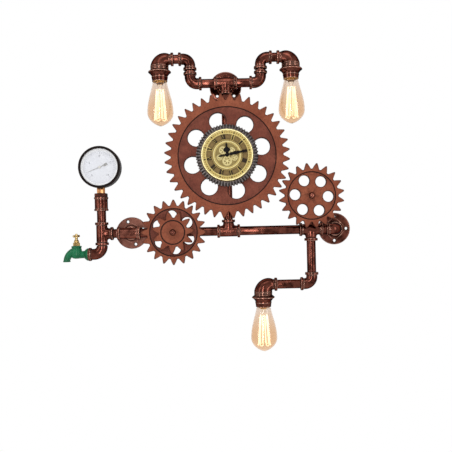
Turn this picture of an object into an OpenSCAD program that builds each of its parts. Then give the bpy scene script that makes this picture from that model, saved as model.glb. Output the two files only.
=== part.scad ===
// Wall lamp made of water pipe, with a train of three gears, a clock, a pressure gauge and a tap.
// X runs to the right, Y into the wall and Z up. The wall is the plane y = 0, and the origin is
// the centre of the top wall flange's back face. Distances "from the wall" count towards the viewer.

/* [Pipework] */
// Outside diameter of the pipes
pipe_d = 22; // [18:0.5:27]
// Bore of the pipes
pipe_bore = 16; // [13:0.5:17]
// Radial play of a pipe end in its socket
thread_gap = 0.1; // [0.05:0.05:0.2]
// Wall of a fitting round its socket
fitting_wall = 2.4; // [2:0.2:4]
// Height of the raised band at a fitting's mouth
band_rise = 2.75; // [1.5:0.25:3.5]
// Width of that band
band_w = 6.5; // [4:0.5:8]
// Distance from a fitting's centre to its mouth
reach = 28; // [26:0.5:34]
// Length of pipe held in a socket
grip = 10; // [8:0.5:10]
// Bend radius of the elbows
bend_r = 17; // [16.5:0.5:19]

/* [Layout] */
// Height of the column from the lower run to the top tee
column_h = 363; // [300:1:440]
// Distance of each riser from the column
arm_x = 86.5; // [70:0.5:110]
// Height of a riser between its two elbows
riser_h = 61; // [60:0.5:80]
// Distance of each upper lamp from the column
lamp_x = 161; // [158:0.5:200]
// Distance of the left wall tee from the column
left_x = 245; // [242:0.5:300]
// Distance of the right tee from the column
right_x = 201.5; // [165:0.5:215]
// Pipe showing between two fittings that stand side by side
run_show = 10; // [6:0.5:14]
// Drop from the lower run to the lower lamp's arm
drop_h = 133; // [110:1:170]
// Distance of the lower lamp from the right tee
drop_arm = 120; // [100:1:150]

/* [Wall flanges] */
// Diameter of a flange
flange_d = 80; // [76:1:96]
// Thickness of its plate
flange_t = 6; // [5:0.5:7]
// Height of its hub from the wall
flange_h = 18; // [18:0.5:24]
// Circle of the screw holes
bolt_pcd = 60; // [56:1:62]
// Diameter of a screw hole
bolt_hole_d = 7; // [5:0.5:8]
// Pipe showing between a flange and its fitting
wall_show = 4; // [2:0.5:10]

/* [Lamps] */
// Outside diameter of a lamp elbow's cup
cup_d = 44.6; // [42:0.2:52]
// Wall of that cup
cup_wall = 3; // [2.5:0.5:4]
// Centre of a lamp elbow to its pipe mouth
lamp_reach = 34.5; // [33:0.5:42]
// Diameter of the lampholder's flared ring
ring_d = 56; // [52:0.5:66]
// Diameter of the lampholder's lower rim
rim_d = 36; // [35:0.5:40]
// Largest diameter of a bulb
bulb_d = 64; // [56:1:76]
// Length of bulb glass below the lampholder
bulb_h = 109; // [92:1:130]
// Diameter of a bulb's screw cap
cap_d = 26.4; // [26:0.1:26.6]

/* [Gears] */
// Module, the pitch diameter per tooth
gear_module = 7.5; // [6.5:0.1:7.8]
// Height of the large gear's centre above the lower run
gear_h = 181.5; // [150:0.5:200]
// Thickness of every gear
gear_t = 10; // [8:0.5:14]
// Free space between the fittings and the gears
gear_gap = 2; // [1:0.25:5]
// Turn of the large gear, anticlockwise from the front
gear_turn = 14; // [0:0.5:45]
// Shank diameter of the large gear's bolt
big_bolt_d = 10; // [9:0.5:12]
// Shank diameter of the small gears' bolts
small_bolt_d = 8; // [7:0.5:9.5]
// Space between the left gear and the front gear
front_gap = 9; // [6:0.5:14]

/* [Clock] */
// Diameter of the gold bezel
clock_d = 124; // [104:1:126]
// Depth of the clock in front of the large gear
clock_depth = 20; // [20:0.5:26]
// Outside diameter of the dark toothed ring
clock_ring_d = 150; // [140:1:180]
// Length of the minute hand from its centre
minute_l = 49; // [30:0.5:50]
// Length of the hour hand from its centre
hour_l = 31; // [24:0.5:40]
// Turn of the dial, anticlockwise from the front
dial_turn = 11; // [0:1:30]

/* [Gauge and tap] */
// Diameter of the gauge
gauge_d = 100; // [84:1:120]
// Depth of the gauge's case
gauge_depth = 38; // [36:1:46]
// Pipe showing below the gauge's coupling
gauge_show = 28; // [20:1:50]
// Tap's collar to its spindle
tap_x = 25; // [24:0.5:32]
// Spindle to the middle of the spout's mouth
spout_x = 24.5; // [21:0.5:30]
// Length of the tap's T-handle
tap_bar_l = 36; // [28:1:44]

/* [Hidden] */
$fn = 64;

// Colours
bronze = [0.36, 0.19, 0.15];
rust = [0.50, 0.28, 0.20];
gold = [0.80, 0.70, 0.40];
brass = [0.82, 0.65, 0.36];
steel = [0.55, 0.55, 0.55];
black = [0.08, 0.07, 0.07];
white = [0.90, 0.91, 0.94];
green = [0.08, 0.42, 0.27];
clear = [0.95, 0.80, 0.65, 0.4];

// Shared clearances: between fixed faces, across a running axial gap, and round a running shaft
fit_gap = 0.1;
axial_gap = 0.3;
run_gap = 0.05;
cut = 1;
wire_d = 1.2;

// Fittings, with a small step at the seam between a bend and its sockets
socket_d = pipe_d + 2 * thread_gap;
fitting_d = socket_d + 2 * fitting_wall;
band_d = fitting_d + 2 * band_rise;
branch_step = 0.9;
bevel = 1.4;
seam = 0.3;
hub_flare = 6;
sink_t = 1.5;
wall_off = flange_h + wall_show + reach;

// Centres of the fittings in the X-Z plane
top_at = [0, 0];
mid_at = [0, -column_h];
left_at = [-left_x, -column_h];
gauge_at = [-left_x - 2 * reach - run_show, -column_h];
right_at = [right_x, -column_h];
right_wall_at = [right_x + 2 * reach + run_show, -column_h];
drop_at = [right_x, -column_h - drop_h];
left_lamp_at = [-lamp_x, riser_h];
right_lamp_at = [lamp_x, riser_h];
drop_lamp_at = [right_x - drop_arm, -column_h - drop_h];
lamps = [[left_lamp_at, 0], [right_lamp_at, 180], [drop_lamp_at, 0]];

// Lamp heights, all measured down from the lamp elbow's pipe axis
cup_r = cup_d / 2;
cup_drop = cup_r - fitting_d / 2 - 2 * seam;
cup_mouth = 25.5;
spigot_h = 7;
spigot_r = cup_r - cup_wall - seam - fit_gap;
ring_top = 30;
ring_low = 32;
sleeve_top = 40.5;
sleeve_r = rim_d / 2 + 1.7;
rim_at = 54.5;
core_at = 31;
core_r = 16;
core_h = 10;
shell_r = cap_d / 2 + 1.4;
shell_wall = 0.8;
shell_h = rim_at - 2 - core_at;
contact_r = 4;
wire_hole_r = 2.4;
cap_top = 34;
cap_cone_h = 4;
cap_tip_r = 5;
neck_r = cap_d / 2 - 0.6;
neck_h = 5;
glass_t = 0.8;
glass_low = rim_at + bulb_h;
wide_at = rim_at + 0.7 * bulb_h;
cage_r = 12.5;
cage_top = rim_at + 22;
cage_low = rim_at + 0.84 * bulb_h;
strands = 12;
spoke_r = 0.8;
spoke_sides = 20;
rod_r = 1.5;
stem_tip_r = 2.5;
stem_low = cage_top - 4;

// Gears: teeth, radii and places
big_teeth = 40;
small_teeth = 20;
front_teeth = 11;
addendum = 0.17 * gear_module;
tooth_dedendum = 1.6 * gear_module;
big_pitch_r = gear_module * big_teeth / 2;
small_pitch_r = gear_module * small_teeth / 2;
big_tip_r = big_pitch_r + addendum;
big_root_r = big_pitch_r - tooth_dedendum - addendum;
small_tip_r = small_pitch_r + 3 * addendum;
small_root_r = small_pitch_r - tooth_dedendum + 2 * addendum;
front_tip_r = 0.65 * small_tip_r;
front_root_r = 0.7 * front_tip_r;
tip_w = 0.36 * gear_module;
valley_w = 0.7 * gear_module;
centre_gap = big_pitch_r + small_pitch_r;
big_at = [0, gear_h - column_h];
left_gear_at = [-sqrt(pow(centre_gap, 2) - pow(gear_h, 2)), -column_h];
right_gear_at = [right_x, big_at[1] - sqrt(pow(centre_gap, 2) - pow(right_x, 2))];
gear_back = wall_off + band_d / 2 + gear_gap;
gear_front = gear_back + gear_t;
left_slack = 1;
right_slack = -2;
left_turn = mesh_turn(left_gear_at) + left_slack - 360 / small_teeth;
right_turn = mesh_turn(right_gear_at) + right_slack - 2 * 360 / small_teeth;
front_turn = 5;
groove_w = 2.4;
groove_t = 1.5;
big_groove_r = 0.785 * big_pitch_r;
big_holes = 8;
big_hole_r = 0.137 * big_pitch_r;
big_hole_at = 0.572 * big_pitch_r;
small_groove_r = 0.76 * small_pitch_r;
small_holes = 6;
small_hole_r = 0.173 * small_pitch_r;
small_hole_at = 0.533 * small_pitch_r;
front_groove_r = 0.55 * front_tip_r;

// Gear bolts and what stands on them
big_bush_r = big_bolt_d / 2 + 2.5;
small_bush_r = small_bolt_d / 2 + 2.5;
big_head_r = big_bush_r + 2;
big_head_h = 4;
dome_r = 7.5;
dome_seat = 2;
spacer_r = 9.5;
nut_w = 1.9;
nut_h = 6;
tail = 2;
sleeve_flange_r = 20;
pipe_rear = wall_off - pipe_d / 2;
front_gear_back = gear_front + front_gap;
front_gear_front = front_gear_back + gear_t;

// Bracket of the right gear, a bar on a saddle that sits on the right tee
bar_w = 11;
bar_t = 3;
bar_at = right_at[0] - 1.5;
bar_back = gear_back - axial_gap - 1 - bar_t;
bar_front = bar_back + bar_t;
eye_r = 11;
saddle_h = 5;
saddle_wrap = 2;
saddle_back = wall_off - 12;
saddle_at = right_at[1] + fitting_d / 2;
screw_d = 5;
screw_head_d = 9;
screw_head_h = 3;

// Clock: depths from the wall and sizes
clock_r = clock_d / 2;
case_t = 1.6;
dial_t = 1.2;
bezel_w = 4;
bezel_h = 3;
case_front = gear_front + clock_depth - 3;
dial_back = case_front - dial_t;
ring_t = 9;
ring_teeth = 60;
ring_tooth_w = 3.4;
ring_root_r = clock_ring_d / 2 - 2.5;
movement_w = 54;
movement_floor = 2;
movement_back = gear_front + case_t + fit_gap;
movement_t = dial_back - fit_gap - movement_back;
bushing_r = 4;
bushing_front = case_front + 2;
hour_tube_r = 2.5;
arbor_r = 1.5;
hour_back = bushing_front + axial_gap;
hand_t = 0.8;
hand_w = 2.1;
hour_boss_r = 5;
minute_boss_r = 3.6;
bead_r = 2.5;
minute_back = hour_back + hand_t + 1;
minute_cap_h = 2.4;
arbor_back = movement_back + 4;
hour_tube_back = arbor_back + 3;
hour_turn = dial_turn + 82.5;

// Gauge: depths from the wall and heights
coupling_h = 34;
coupling_d = band_d + 2;
bead_w = 5;
bead_rise = 1;
gauge_pipe_top = gauge_at[1] + reach + gauge_show;
coupling_top = gauge_pipe_top + coupling_h;
bush_h = 9;
bush_w = 29;
stem_w = 17;
stem_show = 15.5;
stem_in = 7.5;
stem_top = coupling_top + bush_h + stem_show;
gauge_r = gauge_d / 2;
gauge_z = stem_top + gauge_r - 2;
gauge_back = wall_off - gauge_depth / 2;
gauge_front = gauge_back + gauge_depth;
gauge_wall = 1.5;
bezel_rise = 1;
bezel_depth = 8;
gauge_dial_t = 1;
gauge_dial_at = wall_off + stem_w / 2 + 1;
gauge_dial_r = gauge_r - 8.5;
lip_t = 3;
gauge_glass_t = 2;
glass_back = gauge_front - lip_t - fit_gap - gauge_glass_t;
pointer_at = gauge_dial_at + gauge_dial_t + 0.8;
pointer_turn = 202;
pointer_w = 1.6;
pointer_boss_r = 3;
pointer_boss_h = 1.4;
pointer_tail_r = 4;
shaft_r = 1;
shaft_in = 6;
shaft_hole_r = 2.2;
pointer_l = 0.88 * gauge_dial_r;
stem_bore = 13;
works_r = 0.62 * gauge_r;
tube_r = 3;
tube_at = 11;
tube_span = 250;
block_w = 24;
works_back = gauge_back + gauge_wall + fit_gap;
foot_z = stem_top + stem_in + fit_gap;

// Tap, with heights from its inlet axis and widths from its spindle
street_drop = 50;
tap_z = gauge_at[1] - street_drop;
street_bend_r = bend_r + 3;
mouth_x = gauge_at[0] - reach - 5;
collar_w = 5;
spindle_x = mouth_x - collar_w - tap_x;
chamber_d = 22;
chamber_top = 21.5;
chamber_low = 9;
spout_d = 17;
spout_bore = 11;
spout_rise = 7;
lip_h = 3;
lip_rise = 0.7;
gland_d = 15;
gland_h = 15;
spindle_r = 3.5;
gland_shell = 1.5;
bar_rise = 15;
ball_d = 6;
tap_bar_d = 4;
inlet_d = 18;
top_collar_h = 4;
top_collar_rise = 1.5;
spindle_low = 4 - chamber_low;
bar_z = chamber_top + gland_h + bar_rise - ball_d;
tap_turn = 86;

// Angle of a tooth tip of a small gear centred at "at", so that its teeth stand between the big gear's
function mesh_turn(at) = let (
        line = atan2(at[1] - big_at[1], at[0] - big_at[0]),
        share = (line - gear_turn) * big_teeth / 360,
        past = share - floor(share))
    line + 180 - (0.5 - past) * 360 / small_teeth;

// Outline of a gear with pointed teeth: two points at each tip and three round each valley
function gear_outline(teeth, tip_r, root_r) = [for (i = [0:teeth - 1]) let (
        at = i * 360 / teeth,
        tip = asin(tip_w / 2 / tip_r),
        flank = 180 / teeth - asin(valley_w / 2 / root_r))
    each [polar(root_r, at - flank), polar(tip_r, at - tip), polar(tip_r, at + tip),
        polar(root_r, at + flank), polar(root_r - valley_w / 5, at + 180 / teeth)]];
function polar(r, angle) = [r * cos(angle), r * sin(angle)];

// Radius of a bulb's glass at a height below the lamp elbow's axis
function glass_radius(h) = h < wide_at
    ? rim_d / 2 + (bulb_d / 2 - rim_d / 2) * pow(sin(90 * (h - flare_low) / (wide_at - flare_low)), 1.25)
    : bulb_d / 2 * pow(max(0, 1 - pow((h - wide_at) / (glass_low - wide_at), 2)), 0.62);
flare_low = rim_at + 4;
glass_steps = 12;
glass_curve = [for (i = [0:glass_steps]) let (h = flare_low + (wide_at - flare_low) * i / glass_steps)
        [glass_radius(h), -h],
    for (i = [1:glass_steps - 1]) let (h = wide_at + (glass_low - wide_at) * sin(90 * i / glass_steps))
        [glass_radius(h), -h]];

// Turns a shape built along +Z to face another way
module facing(way) {
    turns = way == "right" ? [0, 90, 0] : way == "left" ? [0, -90, 0] : way == "down" ? [180, 0, 0]
        : way == "wall" ? [-90, 0, 0] : way == "front" ? [90, 0, 0] : [0, 0, 0];
    rotate(turns) children();
}

// Places a shape at a point of the X-Z plane, in the plane of the pipes or at another distance
module at(point, off = wall_off) translate([point[0], -off, point[1]]) children();

// Places a shape built along +Z so that it starts at a distance from the wall and grows to the front
module standing(point, off) at(point, off) facing("front") children();

// Disc or ring along +Z
module ring(outer_r, inner_r, h) difference() {
    cylinder(r = outer_r, h = h);
    translate([0, 0, -cut]) cylinder(r = inner_r, h = h + 2 * cut);
}

// Hexagonal nut along +Z
module hex_nut(width, bore_r, h) difference() {
    cylinder(d = width / cos(30), h = h, $fn = 6);
    translate([0, 0, -cut]) cylinder(r = bore_r, h = h + 2 * cut);
}

// Length of pipe along +Z
module tube(length) ring(pipe_d / 2, pipe_bore / 2, length);

// Pipe between the centres of two fittings, held by the grip at both ends
module pipe_between(a, b, reach_b = reach) {
    span = norm(b - a);
    way = b[0] > a[0] + cut ? "right" : b[0] < a[0] - cut ? "left" : b[1] > a[1] ? "up" : "down";
    at(a) facing(way) translate([0, 0, reach - grip]) tube(span - reach - reach_b + 2 * grip);
}

// Raised band with bevelled edges, along +Z
module band(d, w) rotate_extrude() polygon([[0, 0], [d / 2 - bevel, 0], [d / 2, bevel],
    [d / 2, w - bevel], [d / 2 - bevel, w], [0, w]]);

// Outside and inside of one socket, along +Z from the fitting's centre
module socket_outside(d, start = 0, length = reach) {
    translate([0, 0, start]) cylinder(d = d, h = length - start);
    translate([0, 0, length - band_w]) band(band_d, band_w);
}
module socket_inside(bore, start, length = reach) {
    translate([0, 0, start]) cylinder(d = bore, h = length - start);
    translate([0, 0, length - grip]) cylinder(d = socket_d, h = grip + cut);
}

module both_ends() for (turn = [0, 180]) rotate([turn, 0, 0]) children();

// Tee: the run goes along the first way and back, and each branch is a little slimmer than the last
module tee(run, branches) difference() {
    union() {
        facing(run) translate([0, 0, -reach]) cylinder(d = fitting_d, h = 2 * reach);
        facing(run) both_ends() translate([0, 0, reach - band_w]) band(band_d, band_w);
        for (i = [0:len(branches) - 1]) facing(branches[i]) socket_outside(fitting_d - (i + 1) * branch_step);
    }
    facing(run) translate([0, 0, -reach - cut]) cylinder(d = pipe_bore, h = 2 * (reach + cut));
    facing(run) both_ends() translate([0, 0, reach - grip]) cylinder(d = socket_d, h = grip + cut);
    for (i = [0:len(branches) - 1]) facing(branches[i]) socket_inside(pipe_bore - (i + 1) * branch_step, 0);
}

// Quarter of a ring of round bar in the X-Z plane, from a start angle on
module quarter(r, ring_r, start) rotate([90, 0, 0]) rotate([0, 0, start])
    rotate_extrude(angle = 90) translate([ring_r, 0]) circle(r = r);

// Quarter bend from the +Z axis to the +X axis
module bend(r, ring_r) translate([ring_r, 0, ring_r]) quarter(r, ring_r, 180);

// Elbow with one socket up and one to the right
module elbow() difference() {
    union() {
        bend(fitting_d / 2 - seam, bend_r);
        for (way = ["up", "right"]) facing(way) socket_outside(fitting_d, bend_r - seam);
    }
    bend(pipe_bore / 2, bend_r);
    for (way = ["up", "right"]) facing(way) socket_inside(pipe_bore + seam, bend_r - seam);
}

// Wall flange with a hub towards the viewer
module wall_flange(point, turn) color(bronze) at(point, 0) facing("front") rotate([0, 0, turn]) difference() {
    union() {
        cylinder(d = flange_d, h = flange_t);
        translate([0, 0, flange_t]) cylinder(d1 = band_d + hub_flare, d2 = band_d, h = flange_h - flange_t);
    }
    translate([0, 0, -cut]) cylinder(d = pipe_bore + 1, h = flange_h);
    translate([0, 0, flange_h - grip]) cylinder(d = socket_d, h = grip + cut);
    for (i = [0:3]) rotate([0, 0, 90 * i]) translate([bolt_pcd / 2, 0, -cut]) {
        cylinder(d = bolt_hole_d, h = flange_t + 2 * cut);
        translate([0, 0, flange_t + cut - sink_t]) cylinder(d = bolt_hole_d + 2 * sink_t, h = sink_t + cut);
    }
}
module top_wall_flange() wall_flange(top_at, 45);
module left_wall_flange() wall_flange(left_at, 18);
module right_wall_flange() wall_flange(right_wall_at, 0);
module wall_nipples() color(bronze) for (point = [top_at, left_at, right_wall_at])
    standing(point, flange_h - grip) tube(wall_show + 2 * grip);

// Top of the pipework
module top_tee() color(bronze) at(top_at) tee("right", ["down", "wall"]);
module arm_pipes() color(bronze) for (side = [-1, 1]) pipe_between(top_at, [side * arm_x, 0]);
module pipe_elbows() color(bronze) {
    at([-arm_x, 0]) elbow();
    at([arm_x, 0]) rotate([0, 0, 180]) elbow();
    at([-arm_x, riser_h]) rotate([180, 0, 180]) elbow();
    at([arm_x, riser_h]) rotate([180, 0, 0]) elbow();
    at(drop_at) rotate([0, 0, 180]) elbow();
}
module close_nipples() color(bronze) {
    for (side = [-1, 1]) pipe_between([side * arm_x, 0], [side * arm_x, riser_h]);
    for (side = [-1, 1]) pipe_between([side * arm_x, riser_h], [side * lamp_x, riser_h], lamp_reach);
    pipe_between(left_at, gauge_at);
    pipe_between(right_at, right_wall_at);
}

// Column, lower run and drop
module column_pipe() color(bronze) difference() {
    pipe_between(top_at, mid_at);
    bolt_passage(big_at, big_bolt_d);
}
module middle_tee() color(bronze) at(mid_at) tee("right", ["up"]);
module left_run_pipe() color(bronze) difference() {
    pipe_between(left_at, mid_at);
    bolt_passage(left_gear_at, small_bolt_d);
}
module right_run_pipe() color(bronze) pipe_between(mid_at, right_at);
module left_wall_tee() color(bronze) at(left_at) tee("right", ["wall"]);
module right_tee() color(bronze) difference() {
    at(right_at) tee("right", ["down"]);
    at([bar_at, right_at[1]]) cylinder(d = screw_d + 2 * fit_gap, h = fitting_d);
}
module right_wall_elbow() color(bronze) at(right_wall_at) rotate([0, -90, 0]) rotate([0, 0, 90]) elbow();
module drop_pipe() color(bronze) pipe_between(right_at, drop_at);
module drop_arm_pipe() color(bronze) pipe_between(drop_at, drop_lamp_at, lamp_reach);
module bolt_passage(point, d) standing(point, wall_off - pipe_d) cylinder(d = d + 2 * fit_gap, h = 2 * pipe_d);

// Upper half of a ball
module half_ball(r) intersection() {
    sphere(r = r);
    translate([-2 * r, -2 * r, 0]) cube(4 * r);
}

// Lamp elbow: a pipe socket to the right and a round cup facing down
module lamp_elbow() difference() {
    union() {
        translate([0, 0, -cup_drop]) half_ball(cup_r);
        translate([0, 0, -cup_mouth]) cylinder(r = cup_r - seam, h = cup_mouth - cup_drop);
        facing("right") socket_outside(fitting_d - branch_step, 0, lamp_reach);
    }
    translate([0, 0, -cup_drop]) sphere(r = cup_r - cup_wall);
    translate([0, 0, -cup_mouth - cut]) cylinder(r = cup_r - cup_wall - seam, h = cup_mouth + cut - cup_drop);
    facing("right") socket_inside(pipe_bore, 0, lamp_reach);
}
module each_lamp() for (lamp = lamps) at(lamp[0]) rotate([0, 0, lamp[1]]) children();
module lamp_elbows() color(bronze) each_lamp() lamp_elbow();

// Lampholders: shell with its flared ring, ceramic core, screw shell and centre contact
module lampholder_shells() color(bronze) each_lamp() rotate_extrude() polygon([
    [core_r + fit_gap, spigot_h - cup_mouth], [spigot_r, spigot_h - cup_mouth], [spigot_r, -cup_mouth],
    [cup_r, -cup_mouth], [ring_d / 2, -ring_top], [ring_d / 2, -ring_low], [sleeve_r, -sleeve_top],
    [rim_d / 2, -rim_at], [shell_r + shell_wall + fit_gap, -rim_at],
    [shell_r + shell_wall + fit_gap, -core_at], [core_r + fit_gap, -core_at]]);
module lampholder_cores() color(white) each_lamp() translate([0, 0, -core_at])
    ring(core_r, wire_hole_r, core_h);
module screw_shells() color(brass) each_lamp() translate([0, 0, -core_at - shell_h])
    ring(shell_r + shell_wall, shell_r, shell_h);
module centre_contacts() color(brass) each_lamp() translate([0, 0, fit_gap - cap_top]) {
    cylinder(r = contact_r, h = cap_top - core_at - fit_gap);
    cylinder(r = wire_hole_r - fit_gap, h = cap_top - core_at + core_h / 2);
}

// Bulbs: cap, glass, stem with its spokes, and a cage of filament strands
module bulb_caps() color(brass) each_lamp() difference() {
    union() {
        translate([0, 0, -rim_at]) cylinder(r = cap_d / 2, h = rim_at - cap_top - cap_cone_h);
        translate([0, 0, -cap_top - cap_cone_h]) cylinder(r1 = cap_d / 2, r2 = cap_tip_r, h = cap_cone_h);
    }
    translate([0, 0, -rim_at - cut]) cylinder(r = neck_r + fit_gap, h = rim_at - cap_top - cap_cone_h - cut);
}
module bulb_glasses() color(clear) each_lamp() rotate_extrude() polygon([
    [neck_r, neck_h - rim_at], [neck_r, -rim_at - glass_t], each glass_curve, [0, -glass_low],
    [0, 2 * glass_t - glass_low],
    for (i = [len(glass_curve) - 1:-1:0]) [glass_curve[i][0] - glass_t, glass_curve[i][1] + glass_t / 2],
    [neck_r - glass_t, -rim_at], [neck_r - glass_t, neck_h - rim_at]]);
module bulb_stems() color(white) each_lamp() {
    translate([0, 0, -stem_low])
        cylinder(r1 = stem_tip_r, r2 = neck_r - glass_t - fit_gap, h = stem_low - rim_at + neck_h - cut);
    translate([0, 0, -cage_low - 2 * spoke_r]) cylinder(r = rod_r, h = cage_low + 2 * spoke_r - stem_low + cut);
    for (level = [cage_top, cage_low]) translate([0, 0, -level]) for (i = [0:strands - 1])
        rotate([0, 90, (i + 0.5) * 360 / strands]) cylinder(r = spoke_r, h = cage_r + wire_d, $fn = spoke_sides);
}
module bulb_filaments() color(white) each_lamp() for (i = [0:strands - 1])
    rotate([0, 0, (i + 0.5) * 360 / strands]) translate([cage_r, 0, fit_gap + spoke_r - cage_low])
        cylinder(d = wire_d, h = cage_low - cage_top - 2 * (spoke_r + fit_gap));

// Gear disc along +Z: teeth, a ring groove and a circle of round holes, one of them under a tooth
module gear_disc(teeth, tip_r, root_r, groove_r, bore_r) difference() {
    linear_extrude(height = gear_t) polygon(gear_outline(teeth, tip_r, root_r));
    translate([0, 0, gear_t - groove_t])
        ring(groove_r + groove_w / 2, groove_r - groove_w / 2, groove_t + cut);
    translate([0, 0, -cut]) cylinder(r = bore_r, h = gear_t + 2 * cut);
}
module round_holes(count, r, circle_r) for (i = [0:count - 1]) rotate([0, 0, i * 360 / count])
    translate([circle_r, 0, -cut]) cylinder(r = r, h = gear_t + 2 * cut);
module big_gear() color(rust) standing(big_at, gear_back) rotate([0, 0, gear_turn]) difference() {
    gear_disc(big_teeth, big_tip_r, big_root_r, big_groove_r, big_bush_r + fit_gap);
    round_holes(big_holes, big_hole_r, big_hole_at);
    translate([0, 0, gear_t - big_head_h - 2 * axial_gap]) cylinder(r = big_head_r + 1, h = gear_t);
}
module small_gear(point, turn) color(rust) standing(point, gear_back) rotate([0, 0, turn]) difference() {
    gear_disc(small_teeth, small_tip_r, small_root_r, small_groove_r, small_bush_r + fit_gap);
    round_holes(small_holes, small_hole_r, small_hole_at);
}
module left_gear() small_gear(left_gear_at, left_turn);
module right_gear() small_gear(right_gear_at, right_turn);
module front_gear() color(rust) standing(left_gear_at, front_gear_back) rotate([0, 0, front_turn])
    gear_disc(front_teeth, front_tip_r, front_root_r, front_groove_r, small_bush_r + fit_gap);

// Bushes that turn on the bolts, the left one with a flange that parts its two gears
module big_gear_bush() color(brass) standing(big_at, gear_back)
    ring(big_bush_r, big_bolt_d / 2 + run_gap, gear_t - big_head_h - 2 * axial_gap);
module right_gear_bush() color(brass) standing(right_gear_at, gear_back)
    ring(small_bush_r, small_bolt_d / 2 + run_gap, gear_t);
module left_gear_sleeve() color(brass) standing(left_gear_at, gear_back) {
    ring(small_bush_r, small_bolt_d / 2 + run_gap, 2 * gear_t + front_gap);
    translate([0, 0, gear_t]) ring(sleeve_flange_r, small_bolt_d / 2 + run_gap, front_gap);
}

// Bolts from the front, spacers and rear nuts
module dome_head() {
    cylinder(r = dome_r, h = dome_seat);
    translate([0, 0, dome_seat]) half_ball(dome_r - seam);
}
module gear_bolt(point, d, rear, front) standing(point, rear) cylinder(d = d, h = front - rear);
module gear_bolts() color(bronze) {
    big_seat = gear_front - big_head_h - axial_gap;
    union() {
        gear_bolt(big_at, big_bolt_d, pipe_rear - nut_h - tail, big_seat + cut);
        standing(big_at, big_seat) cylinder(r = big_head_r, h = big_head_h);
    }
    union() {
        gear_bolt(left_gear_at, small_bolt_d, pipe_rear - nut_h - tail, front_gear_front + 2 * axial_gap);
        standing(left_gear_at, front_gear_front + axial_gap) dome_head();
    }
    union() {
        gear_bolt(right_gear_at, small_bolt_d, bar_back - nut_h - tail, gear_front + 2 * axial_gap);
        standing(right_gear_at, gear_front + axial_gap) dome_head();
    }
}
module pipe_spacer(point, bolt_d, turn) difference() {
    standing(point, wall_off) ring(spacer_r, bolt_d / 2 + fit_gap, gear_back - axial_gap - wall_off);
    at(point) rotate([0, turn, 0]) cylinder(d = pipe_d + 2 * fit_gap, h = 4 * spacer_r, center = true);
}
module bolt_spacers() color(bronze) {
    pipe_spacer(big_at, big_bolt_d, 0);
    pipe_spacer(left_gear_at, small_bolt_d, 90);
    standing(right_gear_at, bar_front)
        ring(spacer_r, small_bolt_d / 2 + fit_gap, gear_back - axial_gap - bar_front);
}
module bolt_nut(bolt_d) hex_nut(nut_w * bolt_d, bolt_d / 2 + fit_gap, nut_h - fit_gap);
module bolt_nuts() color(steel) {
    standing(big_at, pipe_rear - nut_h) bolt_nut(big_bolt_d);
    standing(left_gear_at, pipe_rear - nut_h) bolt_nut(small_bolt_d);
    standing(right_gear_at, bar_back - nut_h) bolt_nut(small_bolt_d);
}

// Bracket behind the right gear: an eye, a bar and a saddle on the right tee
module gear_bracket() color(bronze) difference() {
    union() {
        standing(right_gear_at, bar_back) cylinder(r = eye_r, h = bar_t);
        translate([bar_at - bar_w / 2, -bar_front, saddle_at - saddle_wrap])
            cube([bar_w, bar_t, right_gear_at[1] - saddle_at + saddle_wrap]);
        translate([bar_at - bar_w / 2, -bar_front, saddle_at - saddle_wrap])
            cube([bar_w, bar_front - saddle_back, saddle_h + saddle_wrap]);
    }
    standing(right_gear_at, bar_back - cut) cylinder(r = small_bolt_d / 2 + fit_gap, h = bar_t + 2 * cut);
    at(right_at) facing("right") cylinder(d = fitting_d + 2 * fit_gap, h = 4 * bar_w, center = true);
    at([bar_at, saddle_at - fitting_wall]) cylinder(d = screw_d + 2 * fit_gap, h = 3 * saddle_h);
}
module fixing_screws() color(steel) {
    at([bar_at, saddle_at + saddle_h + fit_gap]) {
        cylinder(d = screw_head_d, h = screw_head_h);
        translate([0, 0, -saddle_h - fitting_wall]) cylinder(d = screw_d, h = saddle_h + fitting_wall + cut);
    }
    standing([gauge_at[0], gauge_pipe_top + coupling_h / 2], wall_off + pipe_d / 2 + fit_gap)
        cylinder(d = screw_d, h = coupling_d / 2 - pipe_d / 2 - bead_rise);
}

// Clock on the front of the big gear
module clock_ring() color(steel) standing(big_at, gear_front) difference() {
    union() {
        cylinder(r = ring_root_r, h = ring_t);
        for (i = [0:ring_teeth - 1]) rotate([0, 0, i * 360 / ring_teeth])
            translate([ring_root_r - cut, -ring_tooth_w / 2, 0])
                cube([clock_ring_d / 2 - ring_root_r + cut, ring_tooth_w, ring_t - 1]);
    }
    translate([0, 0, -cut]) cylinder(r = clock_r + fit_gap, h = ring_t + 2 * cut);
}
module clock_case() color(gold) standing(big_at, gear_front) difference() {
    cylinder(r = clock_r, h = case_front - dial_t - gear_front);
    translate([0, 0, case_t]) cylinder(r = clock_r - case_t, h = clock_depth);
    translate([0, 0, -cut]) cylinder(r = big_head_r + 1, h = case_t + 2 * cut);
}
module clock_bezel() color(gold) standing(big_at, case_front) rotate_extrude() polygon([
    [clock_r - bezel_w, 0], [clock_r, 0], [clock_r, bezel_h / 2], [clock_r - bevel, bezel_h],
    [clock_r - bezel_w, bezel_h / 2]]);
module clock_dial() color(gold) standing(big_at, dial_back) ring(clock_r, bushing_r + fit_gap, dial_t);
module clock_movement() color(black) standing(big_at, movement_back) rotate([0, 0, dial_turn]) difference() {
    union() {
        translate([-movement_w / 2, -movement_w / 2, 0]) cube([movement_w, movement_w, movement_t]);
        cylinder(r = bushing_r, h = bushing_front - movement_back);
    }
    translate([0, 0, movement_floor]) cylinder(r = hour_tube_r + run_gap, h = clock_depth + movement_t);
}
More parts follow.
